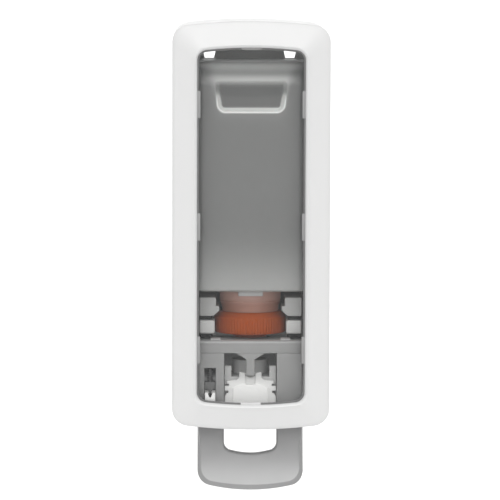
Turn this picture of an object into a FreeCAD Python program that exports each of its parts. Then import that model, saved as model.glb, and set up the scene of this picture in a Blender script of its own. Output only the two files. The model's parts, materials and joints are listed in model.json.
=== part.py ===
"""Wall mounted soap dispenser: top-hinged cover, upside-down refill, piston pump, push lever.

Frame: +X right, +Z up, the wall is the plane Y = 0 and the front looks along -Y.
The origin is the centre of the back plate's wall face. Lengths are millimetres.
"front" in a name is a distance from the wall, so a point at front f lies at Y = -f.
"""

import FreeCAD, Part
import math
import os
import Sketcher

VECTOR = FreeCAD.Vector

doc = FreeCAD.newDocument("wall_soap_dispenser")
sheet = doc.addObject("Spreadsheet::Sheet", "size")


class Size:
    """A length with its value now and the expression that binds it to the sheet."""

    def __init__(self, value, text):
        self.value = value
        self.text = text

    def __add__(self, other):
        other = as_size(other)
        return Size(self.value + other.value, f"({self.text} + {other.text})")

    def __radd__(self, other):
        return as_size(other) + self

    def __sub__(self, other):
        other = as_size(other)
        return Size(self.value - other.value, f"({self.text} - {other.text})")

    def __rsub__(self, other):
        return as_size(other) - self

    def __mul__(self, other):
        other = as_size(other)
        return Size(self.value * other.value, f"({self.text} * {other.text})")

    def __rmul__(self, other):
        return as_size(other) * self

    def __truediv__(self, other):
        other = as_size(other)
        return Size(self.value / other.value, f"({self.text} / {other.text})")

    def __neg__(self):
        return Size(-self.value, f"(0 - {self.text})")

    def root(self):
        """The square root."""
        return Size(math.sqrt(self.value), f"sqrt({self.text})")


def as_size(number):
    """A plain number as a Size."""
    if isinstance(number, Size):
        return number
    return Size(float(number), f"({float(number)})")


def driving(alias, value):
    """Write one driving dimension into the sheet and return it as a Size."""
    row = driving.row
    driving.row += 1
    sheet.set(f"A{row}", alias)
    sheet.set(f"B{row}", str(value))
    sheet.setAlias(f"B{row}", alias)
    return Size(float(value), f"size.{alias}")


driving.row = 1

# ---- Driving dimensions: the cover --------------------------------------------------
COVER_WIDE = driving("cover_wide", 110)
COVER_TALL = driving("cover_tall", 285)
COVER_DEEP = driving("cover_deep", 108)
COVER_WALL = driving("cover_wall", 2.5)
COVER_CORNER = driving("cover_corner", 12)
COVER_CROWN = driving("cover_crown", 4)
COVER_REAR = driving("cover_rear", 4)
FRAME_WIDE = driving("frame_wide", 17.5)
FRAME_END = driving("frame_end", 18.1)
FRAME_RISE = driving("frame_rise", 7)
FRAME_EDGE = driving("frame_edge", 3.5)
FRAME_LEDGE = driving("frame_ledge", 4.5)
WINDOW_CORNER = driving("window_corner", 5)
WINDOW_CROWN = driving("window_crown", 2.5)
CUT_GAP = driving("bottom_cut_gap", 4.5)
CUT_LIP = driving("bottom_cut_lip", 8)

# ---- Driving dimensions: window sheet -----------------------------------------------
LENS_THICK = driving("lens_thick", 1.6)
LENS_LAP = driving("lens_lap", 3)
SEAL_THICK = driving("seal_thick", 1)
SEAL_SHOWN = driving("seal_shown", 1.2)
SEAL_ROOM = driving("seal_room", 0.3)
TAB_LONG = driving("tab_long", 19)
TAB_SHOWN = driving("tab_shown", 2.2)
END_TAB_LONG = driving("end_tab_long", 14)
END_TAB_SHOWN = driving("end_tab_shown", 1.6)
TAB_THICK = driving("tab_thick", 1.8)
TAB_RISE = driving("tab_rise", 86)

# ---- Driving dimensions: back plate and hinge ---------------------------------------
PLATE_THICK = driving("plate_thick", 2.5)
PLATE_GAP = driving("plate_gap", 0.6)
PLATE_TOP_DROP = driving("plate_top_drop", 11)
RAIL_DEEP = driving("rail_deep", 22)
RAIL_THICK = driving("rail_thick", 2.5)
RAIL_TOP_DROP = driving("rail_top_drop", 24.5)
HINGE_FRONT = driving("hinge_front", 9)
HINGE_DROP = driving("hinge_drop", 8.5)
HINGE_INSET = driving("hinge_inset", 24.8)
KNUCKLE_RADIUS = driving("knuckle_radius", 3.9)
LUG_WIDE = driving("lug_wide", 4.2)
TOWER_WIDE = driving("tower_wide", 5)
TOWER_TALL = driving("tower_tall", 10)
HINGE_PIN_RADIUS = driving("hinge_pin_radius", 1.6)
SLOT_TOP_WIDE = driving("view_slot_top_wide", 10.5)
SLOT_FOOT_WIDE = driving("view_slot_foot_wide", 6.6)
SLOT_TALL = driving("view_slot_tall", 8.5)
SLOT_SIDE = driving("view_slot_side", 29)
SLOT_TOP_DROP = driving("view_slot_top_drop", 20.2)
WALL_HOLE_RADIUS = driving("wall_hole_radius", 2.6)
WALL_HOLE_SIDE = driving("wall_hole_side", 30)
WALL_HOLE_TOP_DROP = driving("wall_hole_top_drop", 50.5)
WALL_HOLE_BASE_RISE = driving("wall_hole_base_rise", 18.5)

# ---- Driving dimensions: bottle and cap ---------------------------------------------
BASE_RISE = driving("bottle_base_rise", 96)
BOTTLE_TOP_GAP = driving("bottle_top_gap", 28.5)
BOTTLE_SIDE_GAP = driving("bottle_side_gap", 6.5)
BOTTLE_BACK = driving("bottle_back", 18)
BOTTLE_FRONT_GAP = driving("bottle_front_gap", 16)
BOTTLE_CORNER = driving("bottle_corner", 12)
BOTTLE_WALL = driving("bottle_wall", 1.6)
BOTTLE_CHAMFER = driving("bottle_chamfer", 15)
BOTTLE_CHAMFER_DEEP = driving("bottle_chamfer_deep", 9)
RECESS_TOP_DROP = driving("recess_top_drop", 14)
RECESS_TALL = driving("recess_tall", 21)
RECESS_TOP_WIDE = driving("recess_top_wide", 50)
RECESS_FOOT_WIDE = driving("recess_foot_wide", 42)
RECESS_DEEP = driving("recess_deep", 6)
NECK_RADIUS = driving("neck_radius", 23.5)
NECK_LONG = driving("neck_long", 11)
GROOVE_DEEP = driving("neck_groove_deep", 2)
GROOVE_LONG = driving("neck_groove_long", 5)
FINISH_RADIUS = driving("finish_radius", 20)
FINISH_LONG = driving("finish_long", 11.3)
MOUTH_RADIUS = driving("mouth_radius", 16)
GASKET_THICK = driving("gasket_thick", 0.8)
CAP_WALL = driving("cap_wall", 5.5)
CAP_END = driving("cap_end", 2.2)
CAP_CHAMFER = driving("cap_chamfer", 3.5)
HUB_RADIUS = driving("hub_radius", 11.5)
HUB_LONG = driving("hub_long", 3)

# ---- Driving dimensions: pump -------------------------------------------------------
PUMP_SET_BACK = driving("pump_set_back", 50)
FLANGE_THICK = driving("flange_thick", 1.2)
BARREL_BORE = driving("barrel_bore_radius", 8)
BARREL_WALL = driving("barrel_wall", 1.5)
BARREL_LONG = driving("barrel_long", 31)
BARREL_END = driving("barrel_end", 2)
STEM_RADIUS = driving("stem_radius", 4)
STEM_BORE = driving("stem_bore_radius", 2)
STEM_HEAD_RADIUS = driving("stem_head_radius", 7)
STEM_HEAD_THICK = driving("stem_head_thick", 2)
PISTON_REST_DROP = driving("piston_rest_drop", 13.5)
SEAL_LONG = driving("piston_seal_long", 2.5)
SPRING_WIRE = driving("spring_wire_radius", 0.5)
SPRING_COIL = driving("spring_coil_radius", 5.6)
SPRING_TURNS = driving("spring_turns", 5)
VALVE_RADIUS = driving("valve_radius", 4.5)
VALVE_THICK = driving("valve_thick", 0.7)
VALVE_STEM = driving("valve_stem_radius", 1.2)
PORT_RADIUS = driving("port_radius", 0.8)
PORT_CIRCLE = driving("port_circle_radius", 3.2)
DISC_RADIUS = driving("disc_radius", 12.5)
DISC_THICK = driving("disc_thick", 10)
DISC_SOCKET = driving("disc_socket", 4)
BILL_RADIUS = driving("bill_radius", 3.6)
BILL_LONG = driving("bill_long", 10.5)
BILL_TIP = driving("bill_tip_radius", 1.8)

# ---- Driving dimensions: fork, cradle and housing -----------------------------------
HOUSING_WIDE = driving("housing_wide", 72)
HOUSING_SET_BACK = driving("housing_set_back", 18)
HOUSING_LIFT = driving("housing_lift", 6.5)
TOWER_GAP = driving("rear_tower_gap", 8.5)
TOWER_BASE_DROP = driving("rear_tower_base_drop", 3.5)
FORK_SET_BACK = driving("fork_set_back", 24)
FORK_DROP = driving("fork_drop", 4.8)
FORK_LIP = driving("fork_lip", 3)
FORK_FOOT = driving("fork_foot", 1.9)
CRADLE_TALL = driving("cradle_tall", 13.7)
CRADLE_UNDERCUT_TALL = driving("cradle_undercut_tall", 4.2)
CRADLE_UNDERCUT_DEEP = driving("cradle_undercut_deep", 10)
SHELF_THICK = driving("shelf_thick", 8.8)
SHELF_GAP = driving("shelf_gap", 0.2)
SHELF_HOLE = driving("shelf_hole_radius", 14)
HOUSING_WALL = driving("housing_wall", 2.2)
FRONT_WALL = driving("front_wall", 2.5)
BAY_WIDE = driving("bay_wide", 37)
BAY_GAP = driving("bay_gap", 13)
BAY_REAR_WALL = driving("bay_rear_wall", 3)
REAR_WALL = driving("rear_wall", 3.5)
CHANNEL_ROOF = driving("channel_roof", 2)
POST_WIDE = driving("post_wide", 5.6)
POST_LONG = driving("post_long", 15.5)
POST_DEEP = driving("post_deep", 4.5)
POST_FLARE_WIDE = driving("post_flare_wide", 20)
POST_FLARE_TALL = driving("post_flare_tall", 4.5)
SCREW_SIDE = driving("screw_side", 8)
SCREW_RISE = driving("screw_rise", 8)
SCREW_RADIUS = driving("screw_radius", 1.5)
SCREW_HEAD_RADIUS = driving("screw_head_radius", 3)
SCREW_HEAD_THICK = driving("screw_head_thick", 1.4)
SCREW_GRIP = driving("screw_grip", 3)

# ---- Driving dimensions: latch ------------------------------------------------------
LATCH_OFFSET = driving("latch_offset", 1.05)
LATCH_MARGIN = driving("latch_window_margin", 2.55)
LATCH_TOP_DROP = driving("latch_window_top_drop", 10.4)
LATCH_TALL = driving("latch_window_tall", 23.1)
LATCH_GAP = driving("latch_gap", 0.3)
BOLT_TOP_DROP = driving("bolt_top_drop", 10)
BOLT_TALL = driving("bolt_tall", 6.8)
BOLT_NOSE = driving("bolt_nose", 4.5)
BOLT_DEEP = driving("bolt_deep", 4)
BOLT_STEM_RADIUS = driving("bolt_stem_radius", 1.1)
BOLT_STEM_LONG = driving("bolt_stem_long", 16)
BOLT_TRAVEL = driving("bolt_travel", 3)
LINTEL_DEEP = driving("lintel_deep", 5.7)
LATCH_COIL = driving("latch_coil_radius", 1.9)
LATCH_WIRE = driving("latch_wire_radius", 0.3)
LATCH_TURNS = driving("latch_turns", 6)
CATCH_TALL = driving("catch_tall", 4.6)
CATCH_NOTCH = driving("catch_notch", 2.6)
CATCH_REACH = driving("catch_reach", 3.5)
CATCH_LEG_THICK = driving("catch_leg_thick", 4)
CATCH_LEG_LONG = driving("catch_leg_long", 9)

# ---- Driving dimensions: lever and carriage -----------------------------------------
PIVOT_SET_BACK = driving("pivot_set_back", 30)
PIVOT_DROP = driving("pivot_drop", 63.5)
LEVER_PIN_RADIUS = driving("lever_pin_radius", 2.5)
BUSH_WALL = driving("bush_wall", 1.2)
BOSS_WALL = driving("boss_wall", 1.8)
LEVER_GAP = driving("lever_gap", 0.6)
ARM_TALL = driving("arm_tall", 9)
ARM_TAIL = driving("arm_tail", 4)
LEVER_THICK = driving("lever_thick", 5)
LEVER_FLARE = driving("lever_flare", 1.1)
LEVER_HOLE_INSET = driving("lever_hole_inset", 0.1)
LEVER_FOOT_DROP = driving("lever_foot_drop", 43.1)
LEVER_BAR_TALL = driving("lever_bar_tall", 25.3)
LEVER_SHOULDER = driving("lever_shoulder_lift", 2)
LEVER_FRONT = driving("lever_arm_front", 4.5)
LEVER_SWEEP = driving("lever_sweep_radius", 59.4)
LEVER_SWEEP_TALL = driving("lever_sweep_tall", 41.8)
LEVER_CORNER = driving("lever_corner", 10)
LEVER_CROWN = driving("lever_crown", 4.8)
HOLE_CORNER = driving("lever_hole_corner", 6)
DRIVE_PIN_RADIUS = driving("drive_pin_radius", 2)
DRIVE_PIN_LONG = driving("drive_pin_long", 21)
DRIVE_GAP = driving("drive_gap", 0.3)
CARRIAGE_TRAVEL = driving("carriage_travel", 6.3)
CARRIAGE_GAP = driving("carriage_gap", 0.6)
PLATFORM_THICK = driving("platform_thick", 5.4)
PLATFORM_BACK = driving("platform_back", 12)
APRON_THICK = driving("apron_thick", 4)
APRON_SET_BACK = driving("apron_set_back", 3)
APRON_TALL = driving("apron_tall", 23.5)
CROWN_WIDE = driving("crown_wide", 15.4)
CROWN_TALL = driving("crown_tall", 3.1)
STEP_WIDE = driving("step_wide", 29.2)
STEP_DROP = driving("step_drop", 3.6)
FLARE_DROP = driving("apron_flare_drop", 17)
UPRIGHT_WIDE = driving("upright_wide", 4.5)
UPRIGHT_TALL = driving("upright_tall", 7.6)
RUNNING_GAP = driving("running_gap", 0.05)

# ---- Places worked out from the driving dimensions ----------------------------------
TOP_Z = COVER_TALL / 2
BASE_Z = BASE_RISE - TOP_Z
PUMP_FRONT = COVER_DEEP - PUMP_SET_BACK
SLOPE_FRONT = COVER_DEEP - FRAME_RISE
WINDOW_WIDE = COVER_WIDE - 2 * FRAME_WIDE
WINDOW_TALL = COVER_TALL - 2 * FRAME_END
LEDGE_FRONT = COVER_DEEP - FRAME_EDGE
SEAL_FRONT = LEDGE_FRONT - SEAL_THICK
HINGE_Z = TOP_Z - HINGE_DROP
HINGE_SIDE = HINGE_INSET + LUG_WIDE
PLATE_INSET = COVER_WALL + PLATE_GAP
PLATE_TOP_Z = TOP_Z - PLATE_TOP_DROP
BOTTLE_TOP_Z = TOP_Z - BOTTLE_TOP_GAP
BOTTLE_FRONT = COVER_DEEP - BOTTLE_FRONT_GAP
LIP_TOP_Z = BASE_Z - NECK_LONG
LIP_FOOT_Z = LIP_TOP_Z - GROOVE_LONG
MOUTH_Z = LIP_FOOT_Z - FINISH_LONG
FLANGE_TOP_Z = MOUTH_Z - GASKET_THICK
FLANGE_FOOT_Z = FLANGE_TOP_Z - FLANGE_THICK
CAP_FOOT_Z = FLANGE_FOOT_Z - CAP_END
CAP_RADIUS = FINISH_RADIUS + CAP_WALL
HUB_FOOT_Z = CAP_FOOT_Z - HUB_LONG
SHELF_TOP_Z = HUB_FOOT_Z - SHELF_GAP
SHELF_FOOT_Z = SHELF_TOP_Z - SHELF_THICK
HOUSING_FRONT = COVER_DEEP - HOUSING_SET_BACK
HOUSING_FOOT_Z = HOUSING_LIFT - TOP_Z
HALF_HOUSING = HOUSING_WIDE / 2
HALF_BAY = BAY_WIDE / 2
CHANNEL_IN = HALF_BAY + HOUSING_WALL
CHANNEL_OUT = HALF_HOUSING - HOUSING_WALL
CHANNEL_FRONT = HOUSING_FRONT - FRONT_WALL
TOWER_DEEP = PUMP_FRONT - CAP_RADIUS - TOWER_GAP
BAY_BACK = PUMP_FRONT - PLATFORM_BACK - BAY_GAP
LEVER_WIDE = HOUSING_WIDE + 2 * LEVER_FLARE
LEVER_HOLE_WIDE = BAY_WIDE - 2 * LEVER_HOLE_INSET
CUT_WIDE = LEVER_WIDE + 2 * CUT_GAP
LATCH_SIDE = (CHANNEL_IN + CHANNEL_OUT) / 2 + LATCH_OFFSET
LATCH_WIDE = CHANNEL_OUT - CHANNEL_IN - 2 * LATCH_MARGIN
SCREW_OUT = HALF_HOUSING - SCREW_SIDE
CHANNEL_TOP_Z = SHELF_FOOT_Z - CHANNEL_ROOF
FORK_FRONT = COVER_DEEP - FORK_SET_BACK
PIVOT_FRONT = COVER_DEEP - PIVOT_SET_BACK
PIVOT_Z = BASE_Z - PIVOT_DROP
LATCH_WINDOW_TOP_Z = SHELF_FOOT_Z - LATCH_TOP_DROP
LATCH_WINDOW_FOOT_Z = LATCH_WINDOW_TOP_Z - LATCH_TALL
LINTEL_BACK = HOUSING_FRONT - LINTEL_DEEP
BOLT_BACK = LINTEL_BACK
BOLT_TOP_Z = LATCH_WINDOW_TOP_Z - BOLT_TOP_DROP
BOLT_STEM_FRONT = BOLT_BACK + LATCH_COIL + 2 * LATCH_WIRE
PLATFORM_TOP_Z = PIVOT_Z + PLATFORM_THICK / 2
PLATFORM_FOOT_Z = PIVOT_Z - PLATFORM_THICK / 2
DISC_TOP_Z = PLATFORM_TOP_Z + DISC_THICK
PISTON_TOP_Z = BASE_Z - PISTON_REST_DROP
BARREL_TOP_Z = FLANGE_FOOT_Z + BARREL_LONG
APRON_FRONT = HOUSING_FRONT - APRON_SET_BACK
APRON_BACK = APRON_FRONT - APRON_THICK
HALF_CARRIAGE = HALF_BAY - CARRIAGE_GAP
FAR = COVER_TALL


# ---- Sketch helpers -----------------------------------------------------------------
def at_front(front, height):
    """A point of a sketch on the YZ plane, from its distance off the wall."""
    return (-as_size(front), as_size(height))


def in_plan(side, front):
    """A point of a sketch on the XY plane, from its distance off the wall."""
    return (as_size(side), -as_size(front))


def origin_plane(body, role):
    """One of the body's own origin planes."""
    return next(item for item in body.Origin.OriginFeatures if item.Role == role)


def new_sketch(body, role, offset):
    """A sketch parallel to one of the body's origin planes."""
    offset = as_size(offset)
    sketch = body.newObject("Sketcher::SketchObject", f"{body.Name}_sketch")
    sketch.AttachmentSupport = [(origin_plane(body, role), "")]
    sketch.MapMode = "FlatFace"
    sketch.AttachmentOffset = FreeCAD.Placement(VECTOR(0, 0, offset.value), FreeCAD.Rotation())
    sketch.setExpression("AttachmentOffset.Base.z", offset.text)
    return sketch


def hold(sketch, kind, where, size):
    """Add a dimension bound to the sheet."""
    index = sketch.addConstraint(Sketcher.Constraint(kind, *where, size.value))
    sketch.setExpression(f"Constraints[{index}]", size.text)


def pin_point(sketch, edge, end, point):
    """Hold one point of an edge at its place from the sketch's origin."""
    for kind, axis, place in (("DistanceX", -2, point[0]), ("DistanceY", -1, point[1])):
        place = as_size(place)
        if place.value == 0:
            sketch.addConstraint(Sketcher.Constraint("PointOnObject", edge, end, axis))
        else:
            hold(sketch, kind, (-1, 1, edge, end), place)


def flat(point):
    """The sketch point's position now."""
    return VECTOR(as_size(point[0]).value, as_size(point[1]).value, 0)


def polygon(points):
    """An outline of straight edges through the points."""

    def draw(sketch):
        first = sketch.GeometryCount
        count = len(points)
        for index in range(count):
            ends = (flat(points[index]), flat(points[(index + 1) % count]))
            sketch.addGeometry(Part.LineSegment(*ends), False)
        for index in range(count):
            following = first + (index + 1) % count
            sketch.addConstraint(Sketcher.Constraint("Coincident", first + index, 2, following, 1))
            pin_point(sketch, first + index, 1, points[index])

    return draw


def rectangle(low_x, high_x, low_y, high_y):
    """An outline with straight sides and square corners."""
    return polygon([(low_x, low_y), (high_x, low_y), (high_x, high_y), (low_x, high_y)])


def circle(centre, radius):
    """A round outline."""

    def draw(sketch):
        radius_size = as_size(radius)
        shape = Part.Circle(flat(centre), VECTOR(0, 0, 1), radius_size.value)
        edge = sketch.addGeometry(shape, False)
        pin_point(sketch, edge, 3, centre)
        hold(sketch, "Radius", (edge,), radius_size)

    return draw


def arc_between(centre, radius, start, end):
    """An anticlockwise arc about the centre from the direction of start to that of end."""
    angles = [math.atan2(place.y - centre.y, place.x - centre.x) for place in (start, end)]
    return Part.ArcOfCircle(Part.Circle(centre, VECTOR(0, 0, 1), radius), *angles)


def join_smoothly(sketch, first, count):
    """Join neighbouring edges end to start, each tangent to the next."""
    for index in range(count):
        following = first + (index + 1) % count
        sketch.addConstraint(Sketcher.Constraint("Tangent", first + index, 2, following, 1))


def rounded_rectangle(low_x, high_x, low_y, high_y, corner):
    """A rectangle with round corners."""

    def draw(sketch):
        low = flat((low_x, low_y))
        high = flat((high_x, high_y))
        bend = as_size(corner)
        reach = bend.value
        first = sketch.GeometryCount
        runs = [
            (VECTOR(low.x + reach, low.y, 0), VECTOR(high.x - reach, low.y, 0)),
            (VECTOR(high.x, low.y + reach, 0), VECTOR(high.x, high.y - reach, 0)),
            (VECTOR(high.x - reach, high.y, 0), VECTOR(low.x + reach, high.y, 0)),
            (VECTOR(low.x, high.y - reach, 0), VECTOR(low.x, low.y + reach, 0)),
        ]
        centres = [
            VECTOR(high.x - reach, low.y + reach, 0),
            VECTOR(high.x - reach, high.y - reach, 0),
            VECTOR(low.x + reach, high.y - reach, 0),
            VECTOR(low.x + reach, low.y + reach, 0),
        ]
        for index in range(4):
            sketch.addGeometry(Part.LineSegment(*runs[index]), False)
            start = runs[index][1]
            end = runs[(index + 1) % 4][0]
            sketch.addGeometry(arc_between(centres[index], reach, start, end), False)
        join_smoothly(sketch, first, 8)
        for index in range(4):
            kind = "Horizontal" if index % 2 == 0 else "Vertical"
            sketch.addConstraint(Sketcher.Constraint(kind, first + 2 * index))
            hold(sketch, "Radius", (first + 2 * index + 1,), bend)
        hold(sketch, "DistanceY", (-1, 1, first, 1), as_size(low_y))
        hold(sketch, "DistanceX", (-1, 1, first + 2, 1), as_size(high_x))
        hold(sketch, "DistanceY", (-1, 1, first + 4, 1), as_size(high_y))
        hold(sketch, "DistanceX", (-1, 1, first + 6, 1), as_size(low_x))

    return draw


def crowned_outline(wide, tall, corner, crown):
    """Straight upright sides, round corners and slightly arched top and bottom edges."""

    def draw(sketch):
        half = wide / 2
        top = tall / 2
        arch = (half * half + crown * crown) / (2 * crown)
        arch_z = top - arch
        corner_x = half - corner
        reach = arch - corner
        corner_z = arch_z + (reach * reach - corner_x * corner_x).root()
        join_x = corner_x * arch / reach
        join_z = arch_z + (corner_z - arch_z) * arch / reach
        first = sketch.GeometryCount
        right, left, up, down = half.value, -half.value, corner_z.value, -corner_z.value
        sides = [(right, down, right, up), (left, up, left, down)]
        for number, sign in ((0, 1), (1, -1)):
            x_one, z_one, x_two, z_two = sides[number]
            side = Part.LineSegment(VECTOR(x_one, z_one, 0), VECTOR(x_two, z_two, 0))
            near = VECTOR(sign * corner_x.value, sign * corner_z.value, 0)
            far = VECTOR(-sign * corner_x.value, sign * corner_z.value, 0)
            near_join = VECTOR(sign * join_x.value, sign * join_z.value, 0)
            far_join = VECTOR(-sign * join_x.value, sign * join_z.value, 0)
            middle = VECTOR(0, sign * arch_z.value, 0)
            side_end = VECTOR(x_two, z_two, 0)
            next_start = VECTOR(-x_two, z_two, 0)
            sketch.addGeometry(side, False)
            sketch.addGeometry(arc_between(near, corner.value, side_end, near_join), False)
            sketch.addGeometry(arc_between(middle, arch.value, near_join, far_join), False)
            sketch.addGeometry(arc_between(far, corner.value, far_join, next_start), False)
        join_smoothly(sketch, first, 8)
        for number, sign in ((0, 1), (4, -1)):
            sketch.addConstraint(Sketcher.Constraint("Vertical", first + number))
            hold(sketch, "DistanceX", (-1, 1, first + number, 1), half * sign)
            hold(sketch, "Radius", (first + number + 1,), corner)
            hold(sketch, "Radius", (first + number + 2,), arch)
            hold(sketch, "Radius", (first + number + 3,), corner)
            pin_point(sketch, first + number + 2, 3, (as_size(0), arch_z * sign))

    return draw


def inset_outline(inset):
    """The cover's outline moved inwards by the inset, or outwards if it is negative."""
    wide = COVER_WIDE - 2 * inset
    share = wide / COVER_WIDE
    return crowned_outline(wide, COVER_TALL - 2 * inset, COVER_CORNER - inset, COVER_CROWN * share * share)


def window_outline(growth):
    """The window's outline moved outwards by the growth."""
    growth = as_size(growth)
    corner = WINDOW_CORNER + growth
    return crowned_outline(WINDOW_WIDE + 2 * growth, WINDOW_TALL + 2 * growth, corner, WINDOW_CROWN)


# ---- Feature helpers ----------------------------------------------------------------
cuts = []


def new_body(name):
    """An empty body whose label names its file."""
    body = doc.addObject("PartDesign::Body", name)
    body.Label = name
    return body


def on_pump_axis(body):
    """Move a body made about its own Z axis to the pump's axis."""
    body.Placement = FreeCAD.Placement(VECTOR(0, -PUMP_FRONT.value, 0), FreeCAD.Rotation())
    body.setExpression("Placement.Base.y", (-PUMP_FRONT).text)


def prism(body, role, start, end, draws, kind):
    """Pad or pocket outlines between two distances along the plane's normal."""
    sketch = new_sketch(body, role, start)
    for draw in draws:
        draw(sketch)
    feature = body.newObject(f"PartDesign::{kind}", f"{body.Name}_{kind.lower()}")
    feature.Profile = sketch
    length = as_size(end) - start
    feature.Length = length.value
    feature.setExpression("Length", length.text)
    if kind == "Pocket":
        feature.Reversed = True
        cuts.append(feature)
    sketch.Visibility = False
    return feature


def add(body, role, start, end, *draws):
    """Add a prism."""
    return prism(body, role, start, end, draws, "Pad")


def cut(body, role, start, end, *draws):
    """Cut a prism."""
    return prism(body, role, start, end, draws, "Pocket")


def loft(body, start, start_draw, end, end_draw, kind):
    """Loft between two outlines parallel to the wall."""
    sections = []
    for offset, draw in ((start, start_draw), (end, end_draw)):
        sketch = new_sketch(body, "XZ_Plane", offset)
        draw(sketch)
        sections.append(sketch)
    feature = body.newObject(f"PartDesign::{kind}", f"{body.Name}_loft")
    feature.Profile = sections[0]
    feature.Sections = [sections[1]]
    feature.Ruled = True
    if kind.startswith("Subtractive"):
        cuts.append(feature)
    return feature


def turn(body, points, kind="Revolution"):
    """Revolve an outline of radius and height about the body's Z axis."""
    sketch = new_sketch(body, "XZ_Plane", 0)
    polygon(points)(sketch)
    feature = body.newObject(f"PartDesign::{kind}", f"{body.Name}_{kind.lower()}")
    feature.Profile = sketch
    feature.ReferenceAxis = (sketch, ["V_Axis"])
    feature.Angle = 360
    return feature


def mirror(body, features):
    """Repeat features on the other side of the middle plane."""
    feature = body.newObject("PartDesign::Mirrored", f"{body.Name}_mirrored")
    feature.Originals = features
    feature.MirrorPlane = (origin_plane(body, "YZ_Plane"), [""])
    body.Tip = feature
    return feature


def sides(side, near, far):
    """The two ends of a stretch along X on one side of the middle plane."""
    return (near, far) if side > 0 else (-far, -near)


def coil(body, coil_radius, wire_radius, foot, height, turns):
    """Wind a round wire about the body's Z axis."""
    sketch = new_sketch(body, "XZ_Plane", 0)
    circle((coil_radius, foot), wire_radius)(sketch)
    feature = body.newObject("PartDesign::AdditiveHelix", f"{body.Name}_helix")
    feature.Profile = sketch
    feature.ReferenceAxis = (sketch, ["V_Axis"])
    feature.Mode = "height-turns-angle"
    feature.Height = height.value
    feature.setExpression("Height", height.text)
    feature.Turns = turns.value
    feature.setExpression("Turns", turns.text)
    return feature


# ---- The cover and what it carries --------------------------------------------------
def tab_places():
    """Low x, high x, low z and high z of each tab at the window's edge, right half and middle."""
    half_wide = WINDOW_WIDE / 2
    half_tall = WINDOW_TALL / 2
    half_tab = TAB_LONG / 2
    half_end = END_TAB_LONG / 2
    reach = FRAME_LEDGE / 2
    beside = [
        (half_wide - TAB_SHOWN, half_wide + reach, level - half_tab, level + half_tab)
        for level in (-TAB_RISE, as_size(0), as_size(TAB_RISE))
    ]
    ends = [
        (-half_end, half_end, half_tall - END_TAB_SHOWN, half_tall + reach),
        (-half_end, half_end, -half_tall - reach, END_TAB_SHOWN - half_tall),
    ]
    return beside, ends


def front_cover():
    body = new_body("front_cover")
    add(body, "XZ_Plane", COVER_REAR, SLOPE_FRONT, inset_outline(as_size(0)))
    edge = window_outline(FRAME_EDGE / 2)
    loft(body, SLOPE_FRONT, inset_outline(as_size(0)), COVER_DEEP, edge, "AdditiveLoft")
    inside = SLOPE_FRONT - COVER_WALL
    cut(body, "XZ_Plane", COVER_REAR, inside, inset_outline(COVER_WALL))
    ledge = window_outline(FRAME_LEDGE)
    loft(body, inside, inset_outline(COVER_WALL), LEDGE_FRONT, ledge, "SubtractiveLoft")
    cut(body, "XZ_Plane", inside, COVER_DEEP + COVER_WALL, window_outline(0))

    # The top wall starts at the hinge's axis, so that it clears the wall when it swings.
    notch_foot = HINGE_Z - KNUCKLE_RADIUS - COVER_WALL
    notch = [at_front(0, notch_foot), at_front(HINGE_FRONT, notch_foot)]
    notch += [at_front(HINGE_FRONT, TOP_Z + COVER_WALL), at_front(0, TOP_Z + COVER_WALL)]
    cut(body, "YZ_Plane", -COVER_WIDE, COVER_WIDE, polygon(notch))

    # The bottom wall is open for the lever and the soap.
    half_cut = CUT_WIDE / 2
    cut_top = COVER_CROWN + COVER_WALL - TOP_Z
    below = rectangle(-half_cut, half_cut, -TOP_Z - COVER_WALL, cut_top)
    cut(body, "XZ_Plane", 0, SLOPE_FRONT - CUT_LIP, below)

    # Tabs at the window's edge.
    beside, ends = tab_places()
    tab_back = LEDGE_FRONT - SEAL_THICK
    side_tabs = add(body, "XZ_Plane", tab_back, tab_back + TAB_THICK, *[rectangle(*place) for place in beside])
    mirror(body, [side_tabs])
    add(body, "XZ_Plane", tab_back, tab_back + TAB_THICK, *[rectangle(*place) for place in ends])

    # Hinge lugs under the top wall.
    lug_top = TOP_Z - COVER_WALL
    lug_front = HINGE_FRONT + KNUCKLE_RADIUS
    lug = [at_front(HINGE_FRONT, HINGE_Z), at_front(lug_front, HINGE_Z)]
    lug += [at_front(lug_front, lug_top), at_front(HINGE_FRONT, lug_top)]
    web = add(body, "YZ_Plane", HINGE_INSET, HINGE_SIDE, polygon(lug))
    pivot = at_front(HINGE_FRONT, HINGE_Z)
    eye = add(body, "YZ_Plane", HINGE_INSET, HINGE_SIDE, circle(pivot, KNUCKLE_RADIUS))
    bore_radius = HINGE_PIN_RADIUS + RUNNING_GAP
    ends_of_bore = (HINGE_INSET - COVER_WALL, HINGE_SIDE + COVER_WALL)
    bore = cut(body, "YZ_Plane", *ends_of_bore, circle(pivot, bore_radius))
    mirror(body, [web, eye, bore])
    return body


def window_lens():
    body = new_body("window_lens")
    add(body, "XZ_Plane", SEAL_FRONT - LENS_THICK, SEAL_FRONT, window_outline(LENS_LAP))
    return body


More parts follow.
